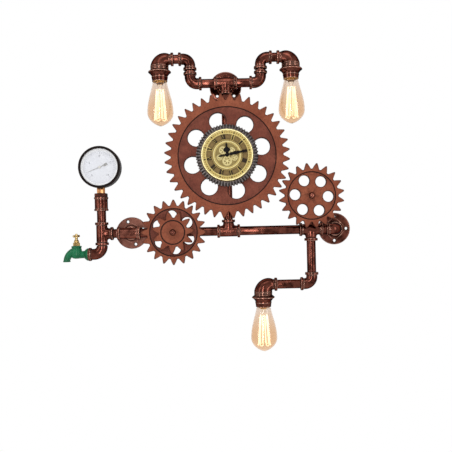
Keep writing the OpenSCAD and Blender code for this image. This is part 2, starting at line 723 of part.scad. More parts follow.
// Hands, built pointing along +X: a slim blade through a leaf or a ring
module hand_bar(from, to, w = hand_w) translate([from, -w / 2, 0]) cube([to - from, w, hand_t]);
module hour_hand() color(black) standing(big_at, hour_tube_back) rotate([0, 0, hour_turn]) difference() {
    union() {
        cylinder(r = hour_tube_r, h = hour_back + hand_t - hour_tube_back);
        translate([0, 0, hour_back - hour_tube_back]) {
            cylinder(r = hour_boss_r, h = hand_t);
            hand_bar(0, hour_l);
            translate([hour_l * 0.55, 0, 0]) ring(hour_l * 0.2, hour_l * 0.1, hand_t);
        }
    }
    translate([0, 0, -cut]) cylinder(r = arbor_r + run_gap, h = 2 * clock_depth);
}
module minute_hand() color(black) standing(big_at, arbor_back) rotate([0, 0, dial_turn]) {
    cylinder(r = arbor_r, h = minute_back - arbor_back + cut / 2);
    translate([0, 0, minute_back - arbor_back]) {
        cylinder(r = minute_boss_r, h = minute_cap_h);
        hand_bar(-minute_l * 0.42, minute_l);
        for (share = [-0.38, 0.3, 0.45, 0.6])
            translate([minute_l * share, 0, 0]) cylinder(r = bead_r, h = hand_t);
    }
}

// Gauge on its column
module gauge_tee() color(bronze) at(gauge_at) tee("up", ["right"]);
module gauge_pipe() color(bronze) at(gauge_at) translate([0, 0, reach - grip])
    tube(gauge_show + 2 * grip);
module gauge_coupling() color(bronze) at([gauge_at[0], gauge_pipe_top]) difference() {
    union() {
        cylinder(d = coupling_d - 2 * bead_rise, h = coupling_h);
        for (level = [0, coupling_h - bead_w]) translate([0, 0, level]) band(coupling_d, bead_w);
    }
    translate([0, 0, -cut]) cylinder(d = socket_d, h = coupling_h + 2 * cut);
    translate([0, 0, coupling_h / 2]) facing("front") cylinder(d = screw_d + 2 * fit_gap, h = coupling_d);
}
module gauge_bush() color(bronze) at([gauge_at[0], coupling_top]) difference() {
    union() {
        cylinder(d = bush_w / cos(30), h = bush_h, $fn = 6);
        translate([0, 0, -grip]) cylinder(d = pipe_d, h = grip + cut);
    }
    translate([0, 0, -grip - cut]) cylinder(d = stem_bore + 2 * fit_gap, h = grip + bush_h + 2 * cut);
}
module gauge_stem() color(brass) at([gauge_at[0], coupling_top]) {
    translate([0, 0, -grip / 2]) cylinder(d = stem_bore, h = grip / 2 + bush_h + cut);
    translate([-stem_w / 2, -stem_w / 2, bush_h]) cube([stem_w, stem_w, stem_show + stem_in]);
}
module in_gauge(off) standing([gauge_at[0], gauge_z], off) children();
module gauge_case() color(black) in_gauge(gauge_back) difference() {
    cylinder(r = gauge_r, h = gauge_depth - bezel_depth);
    translate([0, 0, gauge_wall]) cylinder(r = gauge_r - gauge_wall, h = gauge_depth);
    translate([-stem_w / 2 - fit_gap, -gauge_r - cut, gauge_depth / 2 - stem_w / 2 - fit_gap])
        cube([stem_w + 2 * fit_gap, gauge_r / 2, stem_w + 2 * fit_gap]);
}
module gauge_bezel() color(black) in_gauge(gauge_front - bezel_depth) rotate_extrude() polygon([
    [gauge_r - gauge_wall, 0], [gauge_r + bezel_rise, 0], [gauge_r + bezel_rise, bezel_depth - 2],
    [gauge_r - 1, bezel_depth], [gauge_r - bezel_w, bezel_depth - 2], [gauge_r - bezel_w, bezel_depth - lip_t],
    [gauge_r - gauge_wall, bezel_depth - lip_t]]);
module gauge_dial() color(white) in_gauge(gauge_dial_at) difference() {
    union() {
        cylinder(r = gauge_dial_r, h = gauge_dial_t);
        ring(gauge_r - gauge_wall - fit_gap, gauge_dial_r - 1, glass_back - gauge_dial_at - fit_gap);
    }
    translate([0, 0, -cut]) cylinder(r = shaft_hole_r, h = gauge_dial_t + 2 * cut);
}
module gauge_glass() color(clear) in_gauge(glass_back)
    cylinder(r = gauge_r - gauge_wall - fit_gap, h = gauge_glass_t);
module gauge_pointer() color(steel) in_gauge(gauge_dial_at - shaft_in) rotate([0, 0, pointer_turn]) {
    cylinder(r = shaft_r, h = pointer_at - gauge_dial_at + shaft_in + hand_t);
    translate([0, 0, pointer_at - gauge_dial_at + shaft_in]) {
        cylinder(r = pointer_boss_r, h = pointer_boss_h);
        hand_bar(-pointer_l * 0.4, pointer_l, pointer_w);
        translate([-pointer_l * 0.45, 0, 0]) cylinder(r = pointer_tail_r, h = hand_t);
    }
}
// Bent tube from the stem and the block that carries the pointer's shaft
module gauge_works() color(brass) in_gauge(works_back) {
    difference() {
        union() {
            translate([-block_w / 2, -stem_w / 2, 0])
                cube([block_w, stem_w, gauge_dial_at - works_back - lip_t]);
            translate([-stem_w / 2, foot_z - gauge_z, 0]) cube([stem_w, gauge_z - foot_z, tube_at]);
        }
        translate([0, 0, gauge_wall]) cylinder(r = shaft_r + run_gap, h = gauge_depth);
    }
    translate([0, 0, tube_at]) rotate([0, 0, -90]) rotate_extrude(angle = tube_span)
        translate([works_r, 0]) circle(r = tube_r);
}

// Street elbow, with a plain end held in the gauge tee and a socket to the left
module street_elbow() color(bronze) at([gauge_at[0], tap_z]) difference() {
    union() {
        rotate([0, 0, 180]) bend(fitting_d / 2 - seam, street_bend_r);
        facing("left") socket_outside(fitting_d, street_bend_r - seam, gauge_at[0] - mouth_x);
        translate([0, 0, street_bend_r - seam])
            cylinder(d = pipe_d, h = street_drop - reach + grip - street_bend_r + seam);
    }
    rotate([0, 0, 180]) bend(pipe_bore / 2, street_bend_r);
    facing("left") socket_inside(pipe_bore + seam, street_bend_r - seam, gauge_at[0] - mouth_x);
    translate([0, 0, street_bend_r - seam]) cylinder(d = pipe_bore + seam, h = street_drop);
}

// Tap: inlet collar and thread, chamber, curved spout with a lip
module tap_body() color(green) at([spindle_x, tap_z]) difference() {
    union() {
        facing("right") cylinder(d = inlet_d, h = tap_x + cut);
        translate([tap_x, 0, 0]) facing("right") {
            cylinder(d = band_d - 2 * bead_rise, h = collar_w - fit_gap);
            cylinder(d = pipe_d, h = collar_w + grip - cut);
        }
        translate([0, 0, -chamber_low]) cylinder(d = chamber_d, h = chamber_low + chamber_top);
        translate([0, 0, chamber_top - top_collar_h])
            cylinder(d = chamber_d + 2 * top_collar_rise, h = top_collar_h);
        translate([0, 0, spout_rise - spout_x]) quarter(spout_d / 2, spout_x, 90);
        translate([-spout_x, 0, spout_rise - spout_x]) cylinder(r = spout_d / 2 + lip_rise, h = lip_h);
    }
    translate([0, 0, spout_rise - spout_x]) quarter(spout_bore / 2, spout_x, 90);
    translate([-spout_x, 0, spout_rise - spout_x - cut]) cylinder(r = spout_bore / 2 + seam, h = lip_h);
    facing("right") cylinder(d = spout_bore, h = tap_x + collar_w + grip);
    translate([0, 0, spindle_low]) cylinder(r = spindle_r + run_gap, h = 2 * chamber_top);
}
module tap_gland() color(brass) at([spindle_x, tap_z]) translate([0, 0, chamber_top]) difference() {
    union() {
        hex_nut(gland_d, spindle_r + run_gap, gland_h / 2);
        cylinder(d = gland_d - 2 * gland_shell, h = gland_h);
    }
    translate([0, 0, -cut]) cylinder(r = spindle_r + run_gap, h = gland_h + 2 * cut);
}
module tap_handle() color(brass) at([spindle_x, tap_z]) {
    difference() {
        translate([0, 0, spindle_low + axial_gap])
            cylinder(r = spindle_r, h = bar_z + ball_d - spindle_low - axial_gap);
        along_bar() cylinder(d = tap_bar_d + 2 * fit_gap, h = tap_bar_l, center = true);
    }
    along_bar() {
        cylinder(d = tap_bar_d, h = tap_bar_l, center = true);
        for (side = [-1, 1]) translate([0, 0, side * tap_bar_l / 2]) sphere(d = ball_d);
    }
}
module along_bar() translate([0, 0, bar_z]) rotate([0, 0, tap_turn]) facing("right") children();

top_wall_flange();
left_wall_flange();
right_wall_flange();
wall_nipples();
top_tee();
arm_pipes();
pipe_elbows();
close_nipples();
lamp_elbows();
column_pipe();
middle_tee();
left_run_pipe();
right_run_pipe();
left_wall_tee();
right_tee();
right_wall_elbow();
drop_pipe();
drop_arm_pipe();
gauge_tee();
gauge_pipe();
gauge_coupling();
gauge_bush();
street_elbow();
lampholder_shells();
lampholder_cores();
screw_shells();
centre_contacts();
bulb_caps();
bulb_glasses();
bulb_stems();
bulb_filaments();
big_gear();
left_gear();
front_gear();
right_gear();
big_gear_bush();
left_gear_sleeve();
right_gear_bush();
gear_bolts();
bolt_spacers();
bolt_nuts();
gear_bracket();
fixing_screws();
clock_ring();
clock_case();
clock_bezel();
clock_dial();
clock_movement();
hour_hand();
minute_hand();
gauge_case();
gauge_bezel();
gauge_dial();
gauge_glass();
gauge_pointer();
gauge_stem();
gauge_works();
tap_body();
tap_gland();
tap_handle();
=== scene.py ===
"""Looks of the gear wall lamp.

Aged pipework, rust-painted gears, a clock, a gauge, a green tap and filament bulbs, worked out as numpy
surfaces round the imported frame. Lengths are in millimetres until a mesh is made, X points right and Z up,
and a depth is a distance from the wall towards the viewer.
"""

import logging
from dataclasses import dataclass, replace
from enum import Enum

import bmesh
import bpy
import numpy as np
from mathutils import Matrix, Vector

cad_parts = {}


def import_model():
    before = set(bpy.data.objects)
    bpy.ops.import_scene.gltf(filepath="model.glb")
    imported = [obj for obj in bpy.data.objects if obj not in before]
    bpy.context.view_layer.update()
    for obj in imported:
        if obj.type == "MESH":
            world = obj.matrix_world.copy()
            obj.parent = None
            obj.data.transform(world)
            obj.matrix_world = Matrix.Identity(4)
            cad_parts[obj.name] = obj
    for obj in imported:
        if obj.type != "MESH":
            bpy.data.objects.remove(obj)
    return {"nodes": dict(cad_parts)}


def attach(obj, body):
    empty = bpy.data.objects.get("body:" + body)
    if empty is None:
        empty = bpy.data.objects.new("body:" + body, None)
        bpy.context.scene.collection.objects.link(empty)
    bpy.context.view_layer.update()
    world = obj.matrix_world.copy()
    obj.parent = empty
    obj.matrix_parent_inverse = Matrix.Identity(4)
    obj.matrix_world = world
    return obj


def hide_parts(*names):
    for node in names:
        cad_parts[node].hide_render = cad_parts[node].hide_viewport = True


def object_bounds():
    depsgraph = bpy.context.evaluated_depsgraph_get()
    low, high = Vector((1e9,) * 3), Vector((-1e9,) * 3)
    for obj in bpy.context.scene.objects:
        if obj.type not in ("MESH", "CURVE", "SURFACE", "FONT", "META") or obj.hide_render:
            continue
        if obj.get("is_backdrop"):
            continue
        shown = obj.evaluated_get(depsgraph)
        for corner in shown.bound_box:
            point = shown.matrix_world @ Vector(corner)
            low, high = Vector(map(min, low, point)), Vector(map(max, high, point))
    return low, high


LOG = logging.getLogger("gear_wall_lamp")
Array = np.ndarray
Triple = tuple[float, float, float]
Socket = bpy.types.NodeSocket

MM = 0.001
FULL = 2.0 * np.pi
QUARTER = FULL / 4
PIPE_DEPTH = 50.0
# A row narrower than POLE is one point, and points closer than WELD metres are joined.
POLE = 1e-6
WELD = 2e-6
SHARP = np.radians(38.0)
# Start and span of the bending that shows as wear, or as a darker tone in hollows, in radians to a
# millimetre.
WEAR_BAND = (0.16, 0.7)
HOLLOW_BAND = (0.04, 0.5)
SHORTEST_BEND = 0.25
# Columns of turned surfaces.
PIN, COARSE, BOLT, PLAIN, SMOOTH, SMOOTHEST = 32, 40, 48, 64, 96, 128


class Way(Enum):
    """Direction that a port or a turned piece faces: unit vectors across it, up it and along it."""

    RIGHT = ((0.0, 1.0, 0.0), (0.0, 0.0, 1.0), (1.0, 0.0, 0.0))
    LEFT = ((0.0, 0.0, 1.0), (0.0, 1.0, 0.0), (-1.0, 0.0, 0.0))
    UP = ((1.0, 0.0, 0.0), (0.0, 1.0, 0.0), (0.0, 0.0, 1.0))
    DOWN = ((0.0, 1.0, 0.0), (1.0, 0.0, 0.0), (0.0, 0.0, -1.0))
    FRONT = ((1.0, 0.0, 0.0), (0.0, 0.0, 1.0), (0.0, -1.0, 0.0))
    WALL = ((0.0, 0.0, 1.0), (1.0, 0.0, 0.0), (0.0, 1.0, 0.0))

    @property
    def axes(self) -> Array:
        """The three unit vectors as the rows of a 3 by 3 array."""
        return np.array(self.value)

    @property
    def along(self) -> Array:
        """The unit vector that points the way."""
        return self.axes[2]


class Body(Enum):
    """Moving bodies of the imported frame."""

    PIPEWORK = "pipework"
    BIG_GEAR = "big_gear"
    LEFT_GEAR = "left_gear"
    RIGHT_GEAR = "right_gear"
    HOUR_HAND = "hour_hand"
    MINUTE_HAND = "minute_hand"
    GAUGE_POINTER = "gauge_pointer"
    TAP_HANDLE = "tap_handle"


def spot(x: float, z: float, depth: float = PIPE_DEPTH) -> Array:
    """The point at x and z that stands `depth` in front of the wall."""
    return np.array([x, -depth, z])


def angles(count: int, start: float = 0.0) -> Array:
    """Equal steps round a full turn from `start` radians."""
    return start + FULL * np.arange(count) / count


def polar(radius: Array | float, angle: Array | float) -> Array:
    """Points (r cos a, r sin a) as rows."""
    radius, angle = np.broadcast_arrays(np.asarray(radius, float), np.asarray(angle, float))
    return np.stack([radius * np.cos(angle), radius * np.sin(angle)], -1)


def swung(points: Array, angle: float) -> Array:
    """Turn points (a, b) about zero by an angle in radians."""
    c, s = np.cos(angle), np.sin(angle)
    return points @ np.array([[c, s], [-s, c]])


def lift(flat: Array, level: Array, at: Array, way: Way) -> Array:
    """Stand flat points at heights along a way: P = at + a u + b v + h w.

    Args:
        flat: Points (a, b), of shape (rows, columns, 2).
        level: Heights h, one for each row or one for each point.
        at: Point where a, b and h are zero.
        way: The direction w with u across it and v up it.

    Returns:
        Points of shape (rows, columns, 3).
    """
    level = np.asarray(level, float)
    height = np.broadcast_to(level.reshape(len(level), -1, 1), flat.shape[:2] + (1,))
    return at + np.concatenate([flat, height], -1) @ way.axes


def rounded(corners: Array | list, radius: float, steps: int = 4, closed: bool = True) -> Array:
    """Round a polyline: each corner becomes the quadratic curve from `radius` before it to `radius` after.

    Args:
        corners: Rows of (a, b) points.
        radius: How far from a corner its curve starts, at most 0.45 of either side.
        steps: Points on each curve.
        closed: Whether the last corner leads back to the first.

    Returns:
        Rows of (a, b) points along the rounded line.
    """
    corners = np.asarray(corners, float)
    back = np.roll(corners, 1, axis=0) - corners
    fore = np.roll(corners, -1, axis=0) - corners
    back_length = np.maximum(np.linalg.norm(back, axis=1, keepdims=True), POLE)
    fore_length = np.maximum(np.linalg.norm(fore, axis=1, keepdims=True), POLE)
    cut = np.minimum(radius, 0.45 * np.minimum(back_length, fore_length))
    start = (corners + back * cut / back_length)[:, None]
    end = (corners + fore * cut / fore_length)[:, None]
    t = np.linspace(0.0, 1.0, steps)[None, :, None]
    curve = (1 - t) ** 2 * start + 2 * t * (1 - t) * corners[:, None] + t ** 2 * end
    if closed:
        return curve.reshape(-1, 2)
    return np.vstack([corners[:1], curve[1:-1].reshape(-1, 2), corners[-1:]])


def fine(line: Array, step: float, closed: bool = True) -> Array:
    """Add points along a polyline so that none are further than `step` apart, keeping the points it has.

    Args:
        line: Rows of (a, b) points.
        step: Longest distance between neighbours.
        closed: Whether the last point leads back to the first.

    Returns:
        The line with the points that it had and those between.
    """
    path = np.vstack([line, line[:1]]) if closed else line
    run = np.concatenate([[0.0], np.cumsum(np.linalg.norm(np.diff(path, axis=0), axis=1))])
    extra = np.arange(0.0, run[-1], step)
    stops = np.unique(np.round(np.concatenate([run, extra]), 4))
    dense = np.stack([np.interp(stops, run, path[:, 0]), np.interp(stops, run, path[:, 1])], -1)
    return dense[:-1] if closed else dense


class Sculpt:
    """A shape under construction: grids of points in millimetres that become one mesh."""

    def __init__(self, weld: bool = False) -> None:
        """Start with no points.

        Args:
            weld: Whether grids whose edges meet are joined.
        """
        self.weld = weld
        self.points: list[Array] = []
        self.shade_and_tint: list[Array] = []
        self.quads: list[Array] = []
        self.tris: list[Array] = []
        self.count = 0

    def grid(
        self, points: Array, shade_and_tint: float | Array = 0.0, rows: bool = False, columns: bool = True
    ) -> None:
        """Add the surface P(i, j): quads join neighbours, and triangles a row that is one point.

        Args:
            points: Array of shape (rows, columns, 3).
            shade_and_tint: Painted shade there, or in glass the depth of its tint; one value, one for each
                row, or one for each point.
            rows: Whether the last row leads back to the first.
            columns: Whether the last column leads back to the first.
        """
        high, wide = points.shape[:2]
        shade_and_tint = np.asarray(shade_and_tint, float)
        shade_and_tint = shade_and_tint[:, None] if shade_and_tint.ndim == 1 else shade_and_tint
        index = self.count + np.arange(high * wide).reshape(high, wide)
        self.points.append(points.reshape(-1, 3))
        self.shade_and_tint.append(np.broadcast_to(shade_and_tint, (high, wide)).reshape(-1))
        self.count += high * wide
        pole = np.ptp(points, axis=1).max(axis=1) < POLE
        if columns:
            index = np.hstack([index, index[:, :1]])
        if rows:
            index = np.vstack([index, index[:1]])
            pole = np.append(pole, pole[0])
        a, b, c, d = index[:-1, :-1], index[:-1, 1:], index[1:, 1:], index[1:, :-1]
        tip = np.broadcast_to(index[:-1, :1], a.shape)
        end = np.broadcast_to(index[1:, :1], a.shape)
        self.quads.append(np.stack([a, b, c, d], -1)[~(pole[:-1] | pole[1:])].reshape(-1, 4))
        self.tris.append(np.stack([tip, c, d], -1)[pole[:-1] & ~pole[1:]].reshape(-1, 3))
        self.tris.append(np.stack([a, b, end], -1)[~pole[:-1] & pole[1:]].reshape(-1, 3))

    def turned(
        self, profile: Array | list, at: Array, way: Way, count: int = PLAIN, shade_and_tint: float | Array = 0.0,
        start: float = 0.0,
    ) -> None:
        """Add a turned surface: rows of (r, h) go round an axis, P = at + r cos t u + r sin t v + h w.

        The last row leads back to the first unless the profile starts on the axis or the shape is welded.

        Args:
            profile: Rows of (radius, height along the way).
            at: Point on the axis where the height is zero.
            way: The axis.
            count: Columns round it.
            shade_and_tint: Painted shade, or the tint of glass, as for grid.
            start: Angle of the first column in radians.
        """
        profile = np.asarray(profile, float)
        closed = profile[0, 0] > 0.0 and not self.weld
        ring = polar(profile[:, :1], angles(count, start))
        self.grid(lift(ring, profile[:, 1], at, way), shade_and_tint, rows=closed)

    def rings(self, rows: list[tuple], angle: Array, at: Array) -> None:
        """Add a closed ring whose radius, depth and soot are functions of the angle, row by row.

        Args:
            rows: (radius, depth, painted shade) of each row, each one value or one for each angle.
            angle: Angles round the ring in radians.
            at: Centre of the ring on the wall plane.
        """
        radius, depth, shade_and_tint = (
            np.stack([np.broadcast_to(row[part], angle.shape) for row in rows]) for part in range(3)
        )
        self.grid(lift(polar(radius, angle), depth, at, Way.FRONT), shade_and_tint, rows=True)

    def slab(
        self, outline: Array, low: float, high: float, at: Array, way: Way = Way.FRONT, edge: float = 0.25
    ) -> None:
        """Add a plate: the outline at two heights, bevelled towards its middle, with faces that meet there.

        Args:
            outline: Rows of (a, b) round the plate, seen from its middle without overlap.
            low: Height of the back face.
            high: Height of the front face.
            at: Point where a, b and the height are zero.
            way: Direction that the front faces.
            edge: Width of the bevel.
        """
        middle = outline.mean(axis=0)
        size = np.linalg.norm(outline - middle, axis=1).max()
        inner = middle + (outline - middle) * (1.0 - edge / size)
        level = np.array([low, low, low + edge, high - edge, high, high])
        loops = np.stack([0 * outline + middle, inner, outline, outline, inner, 0 * outline + middle])
        self.grid(lift(loops, level, at, way))

    def blade(self, along: Array, half: Array, low: float, high: float, at: Array, angle: float) -> None:
        """Add a flat hand: at each station along a ray a bevelled section of that half width.

        Args:
            along: Distance of each station along the ray.
            half: Half width at each station.
            low: Depth of its back.
            high: Depth of its front.
            at: Point on the wall plane where the ray starts.
            angle: Angle of the ray in radians.
        """
        along, half = np.asarray(along, float), np.asarray(half, float)
        section = np.array([[-1.0, 0.0], [1.0, 0.0], [1.0, 0.6], [0.55, 1.0], [-0.55, 1.0], [-1.0, 0.6]])
        across = half[:, None] * section[:, 0]
        swell = np.where(half > POLE, 1.0, 0.0)[:, None]
        level = low + (high - low) * (0.5 + swell * (section[:, 1] - 0.5))
        flat = np.stack([np.broadcast_to(along[:, None], across.shape), across], -1)
        self.grid(lift(swung(flat, angle), level, at, Way.FRONT))

    def wire(
        self, path: Array, side: Array, radius: float | Array, count: int = 8, shade_and_tint: Array | None = None
    ) -> None:
        """Add a wire: circles of `radius` across a path, set out from side vectors and the tangent.

        Args:
            path: Points of the path; its ends are closed by points.
            side: A vector at each point that isn't along the path.
            radius: Wire radius, one or one for each point.
            count: Columns round the wire.
            shade_and_tint: Painted shade at each point of the path, none if not given.
        """
        step = np.gradient(path, axis=0)
        tangent = step / np.linalg.norm(step, axis=1, keepdims=True)
        out = side - tangent * np.sum(side * tangent, axis=1, keepdims=True)
        out = out / np.linalg.norm(out, axis=1, keepdims=True)
        up = np.cross(tangent, out)
        t = angles(count)[None, :, None]
        size = np.broadcast_to(np.asarray(radius, float), len(path))[:, None, None]
        rings = path[:, None] + size * (np.cos(t) * out[:, None] + np.sin(t) * up[:, None])
        first = np.broadcast_to(path[0], (1, count, 3))
        last = np.broadcast_to(path[-1], (1, count, 3))
        shade = np.zeros(len(path)) if shade_and_tint is None else shade_and_tint
        shade = np.concatenate([shade[:1], shade, shade[-1:]])
        self.grid(np.concatenate([first, rings, last]), shade)

    def mesh(self, name: str) -> bpy.types.Mesh:
        """Make the mesh, point its faces outwards and give each point its painted shade or glass tint, its
        wear and how hollow it lies.

        Args:
            name: Name of the mesh.

        Returns:
            The finished mesh, smooth with sharp edges kept.
        """
        points = np.concatenate(self.points) * MM
        tris = np.concatenate(self.tris)
        quads = np.concatenate(self.quads)
        used = np.unique(np.concatenate([tris.ravel(), quads.ravel()]))
        place = np.zeros(len(points), int)
        place[used] = np.arange(len(used))
        mesh = bpy.data.meshes.new(name)
        mesh.from_pydata(points[used].tolist(), [], place[tris].tolist() + place[quads].tolist())
        layer = mesh.attributes.new("shade_and_tint", "FLOAT", "POINT")
        layer.data.foreach_set("value", np.concatenate(self.shade_and_tint)[used].astype(np.float32))
        work = bmesh.new()
        work.from_mesh(mesh)
        if self.weld:
            bmesh.ops.remove_doubles(work, verts=work.verts, dist=WELD)
        bmesh.ops.recalc_face_normals(work, faces=work.faces)
        work.to_mesh(mesh)
        work.free()
        mesh.shade_smooth()
        mesh.set_sharp_from_angle(angle=SHARP)
        mark_wear_and_hollows(mesh)
        return mesh


def read(items: bpy.types.bpy_prop_collection, name: str, width: int = 1, kind: type = np.float32) -> Array:
    """Read one property of all items of a mesh.

    Args:
        items: Vertices, edges, loops or polygons of a mesh.
        name: Name of the property.
        width: How many numbers it has.
        kind: Their type.

    Returns:
        The numbers, in rows where the width is above 1.
    """
    values = np.zeros(len(items) * width, kind)
    items.foreach_get(name, values)
    return values.reshape(-1, width) if width > 1 else values


def mark_wear_and_hollows(mesh: bpy.types.Mesh) -> None:
    """Give each point an attribute of wear and one of hollowness from the bending of the surface there.

    Across an edge the bending is the angle between its faces over the distance of their middles, positive
    where the surface is convex. Wear grows with a point's strongest convex bending, hollowness with its
    concave bending.

    Args:
        mesh: Mesh whose normals point outwards.
    """
    normal = read(mesh.polygons, "normal", 3).astype(float)
    middle = read(mesh.polygons, "center", 3).astype(float) / MM
    sides = read(mesh.polygons, "loop_total", 1, np.int32)
    edge = read(mesh.loops, "edge_index", 1, np.int32)
    ends = read(mesh.edges, "vertices", 2, np.int32)
    face = np.repeat(np.arange(len(sides)), sides)
    order = np.argsort(edge, kind="stable")
    edge, face = edge[order], face[order]
    pair = np.flatnonzero(edge[:-1] == edge[1:])
    one, two = face[pair], face[pair + 1]
    gap = middle[two] - middle[one]
    turn = np.arccos(np.clip(np.sum(normal[one] * normal[two], axis=1), -1.0, 1.0))
    sign = np.sign(np.sum((normal[two] - normal[one]) * gap, axis=1))
    bend = sign * turn / np.maximum(np.linalg.norm(gap, axis=1), SHORTEST_BEND)
    convex, hollow = np.zeros((2, len(mesh.vertices)))
    for column in range(2):
        np.maximum.at(convex, ends[edge[pair], column], bend)
        np.maximum.at(hollow, ends[edge[pair], column], -bend)
    for name, value, (start, span) in (("wear", convex, WEAR_BAND), ("hollowness", hollow, HOLLOW_BAND)):
        layer = mesh.attributes.new(name, "FLOAT", "POINT")
        layer.data.foreach_set("value", np.clip((value - start) / span, 0.0, 1.0).astype(np.float32))


@dataclass(frozen=True)
class Bend:
    """A path that runs in from one face, turns a quarter circle and runs out to another face."""

    corner: Array
    first: Way
    second: Way
    lead_in: float
    lead_out: float
    radius: float

    @property
    def length(self) -> float:
        """Length of the path: both leads less the radius, and a quarter of the circle."""
        return self.lead_in + self.lead_out - 2 * self.radius + self.radius * QUARTER

    def carry(self, profile: Array, count: int = BOLT) -> Array:
        """Carry a profile along the path: P = C(s) + r (cos t n + sin t b), n away from the turn's centre.

        Args:
            profile: Rows of (distance along the path, radius).
            count: Columns round the path.

        Returns:
            Grid of points.
        """
        a, b = self.first.along, self.second.along
        run, radius = profile[:, 0], profile[:, 1]
        past = run - (self.lead_in - self.radius)
        turn = np.clip(past / self.radius, 0.0, QUARTER)[:, None]
        out = -(b * np.cos(turn) + a * np.sin(turn))
        centre = self.corner + self.radius * (a + b + out)
        centre = centre - a * np.minimum(past, 0.0)[:, None]
        centre = centre + b * np.maximum(past - self.radius * QUARTER, 0.0)[:, None]
        t = angles(count)[None, :, None]
        across = np.cos(t) * out[:, None] + np.sin(t) * np.cross(a, b)
        return centre[:, None] + radius[:, None, None] * across


@dataclass(frozen=True)
class HoledRing:
    """A flat ring with round holes, cut into equal sectors with one hole in the middle of each."""

    inner: float
    outer: float
    holes: int
    hole_at: float
    hole_r: float
    back: float
    front: float
    turn: float
    edge: float = 0.9
    worn: float = 1.6
    steps: int = 24
    spokes: int = 9
    # Painted shade on each row: darkest on the hole's wall and its bevels, fading over the band past the
    # front bevel.
    shade_and_tint: tuple[float, ...] = (0.1, 0.5, 0.95, 0.95, 0.7, 0.06, 0.0)

    @property
    def start(self) -> float:
        """Angle of the first sector's edge in radians."""
        return np.radians(self.turn) - np.pi / self.holes

    @property
    def columns(self) -> int:
        """Columns of a turned surface that meets the ring's circles point by point."""
        return self.holes * self.steps

    def build(self, shape: Sculpt, at: Array) -> None:
        """Add each sector: from every point of its outline a line runs towards the hole's middle.

        Args:
            shape: Welded shape to add the sectors to.
            at: Centre of the ring on the wall plane.
        """
        half = np.pi / self.holes
        arc = np.linspace(-half, half, self.steps + 1)
        spoke = np.linspace(self.outer, self.inner, self.spokes)[1:-1]
        outline = np.concatenate([
            polar(self.outer, arc), polar(spoke, half),
            polar(self.inner, arc[::-1]), polar(spoke[::-1], -half),
        ])
        middle = np.array([self.hole_at, 0.0])
        ray = (outline - middle) / np.linalg.norm(outline - middle, axis=1, keepdims=True)
        rims = [middle + ray * (self.hole_r + grow) for grow in (0.0, self.edge, self.edge + self.worn)]
        loops = np.stack([outline, rims[1], rims[0], rims[0], rims[1], rims[2], outline])
        low, high, edge = self.back, self.front, self.edge
        level = np.array([low, low, low + edge, high - edge, high, high, high])
        for place in range(self.holes):
            flat = swung(loops, np.radians(self.turn) + place * 2 * half)
            shape.grid(lift(flat, level, at, Way.FRONT), np.array(self.shade_and_tint))


class Tree:
    """A node tree of a material or the world, with short calls for its nodes."""

    def __init__(self, tree: bpy.types.NodeTree) -> None:
        """Empty the tree."""
        self.tree = tree
        tree.nodes.clear()

    def add(self, kind: str, sockets: dict | None = None, **settings: object) -> bpy.types.Node:
        """Add a node.

        Args:
            kind: Blender's name of the node.
            sockets: Values or other nodes' sockets for its inputs, by name or number.
            settings: Properties of the node.

        Returns:
            The new node.
        """
        node = self.tree.nodes.new(kind)
        for key, value in settings.items():
            setattr(node, key, value)
        for key, value in (sockets or {}).items():
            self.put(node.inputs[key], value)
        return node

    def put(self, socket: Socket, value: object) -> None:
        """Link another node's socket to this one, or set its value.

        Args:
            socket: The input.
            value: A socket, a colour or a number.
        """
        if isinstance(value, Socket):
            self.tree.links.new(value, socket)
        elif socket.type == "RGBA":
            socket.default_value = (*value, 1.0)
        else:
            socket.default_value = value

    def seen(self) -> Socket:
        """Tell what is seen, also in gloss and through glass, from what only lights.

        Returns:
            One where it is seen, zero where it only lights.
        """
        path = self.add("ShaderNodeLightPath")
        ray = path.outputs["Is Camera Ray"]
        for other in ("Is Glossy Ray", "Is Transmission Ray"):
            rays = {0: ray, 1: path.outputs[other]}
            ray = self.add("ShaderNodeMath", rays, operation="MAXIMUM").outputs[0]
        return ray


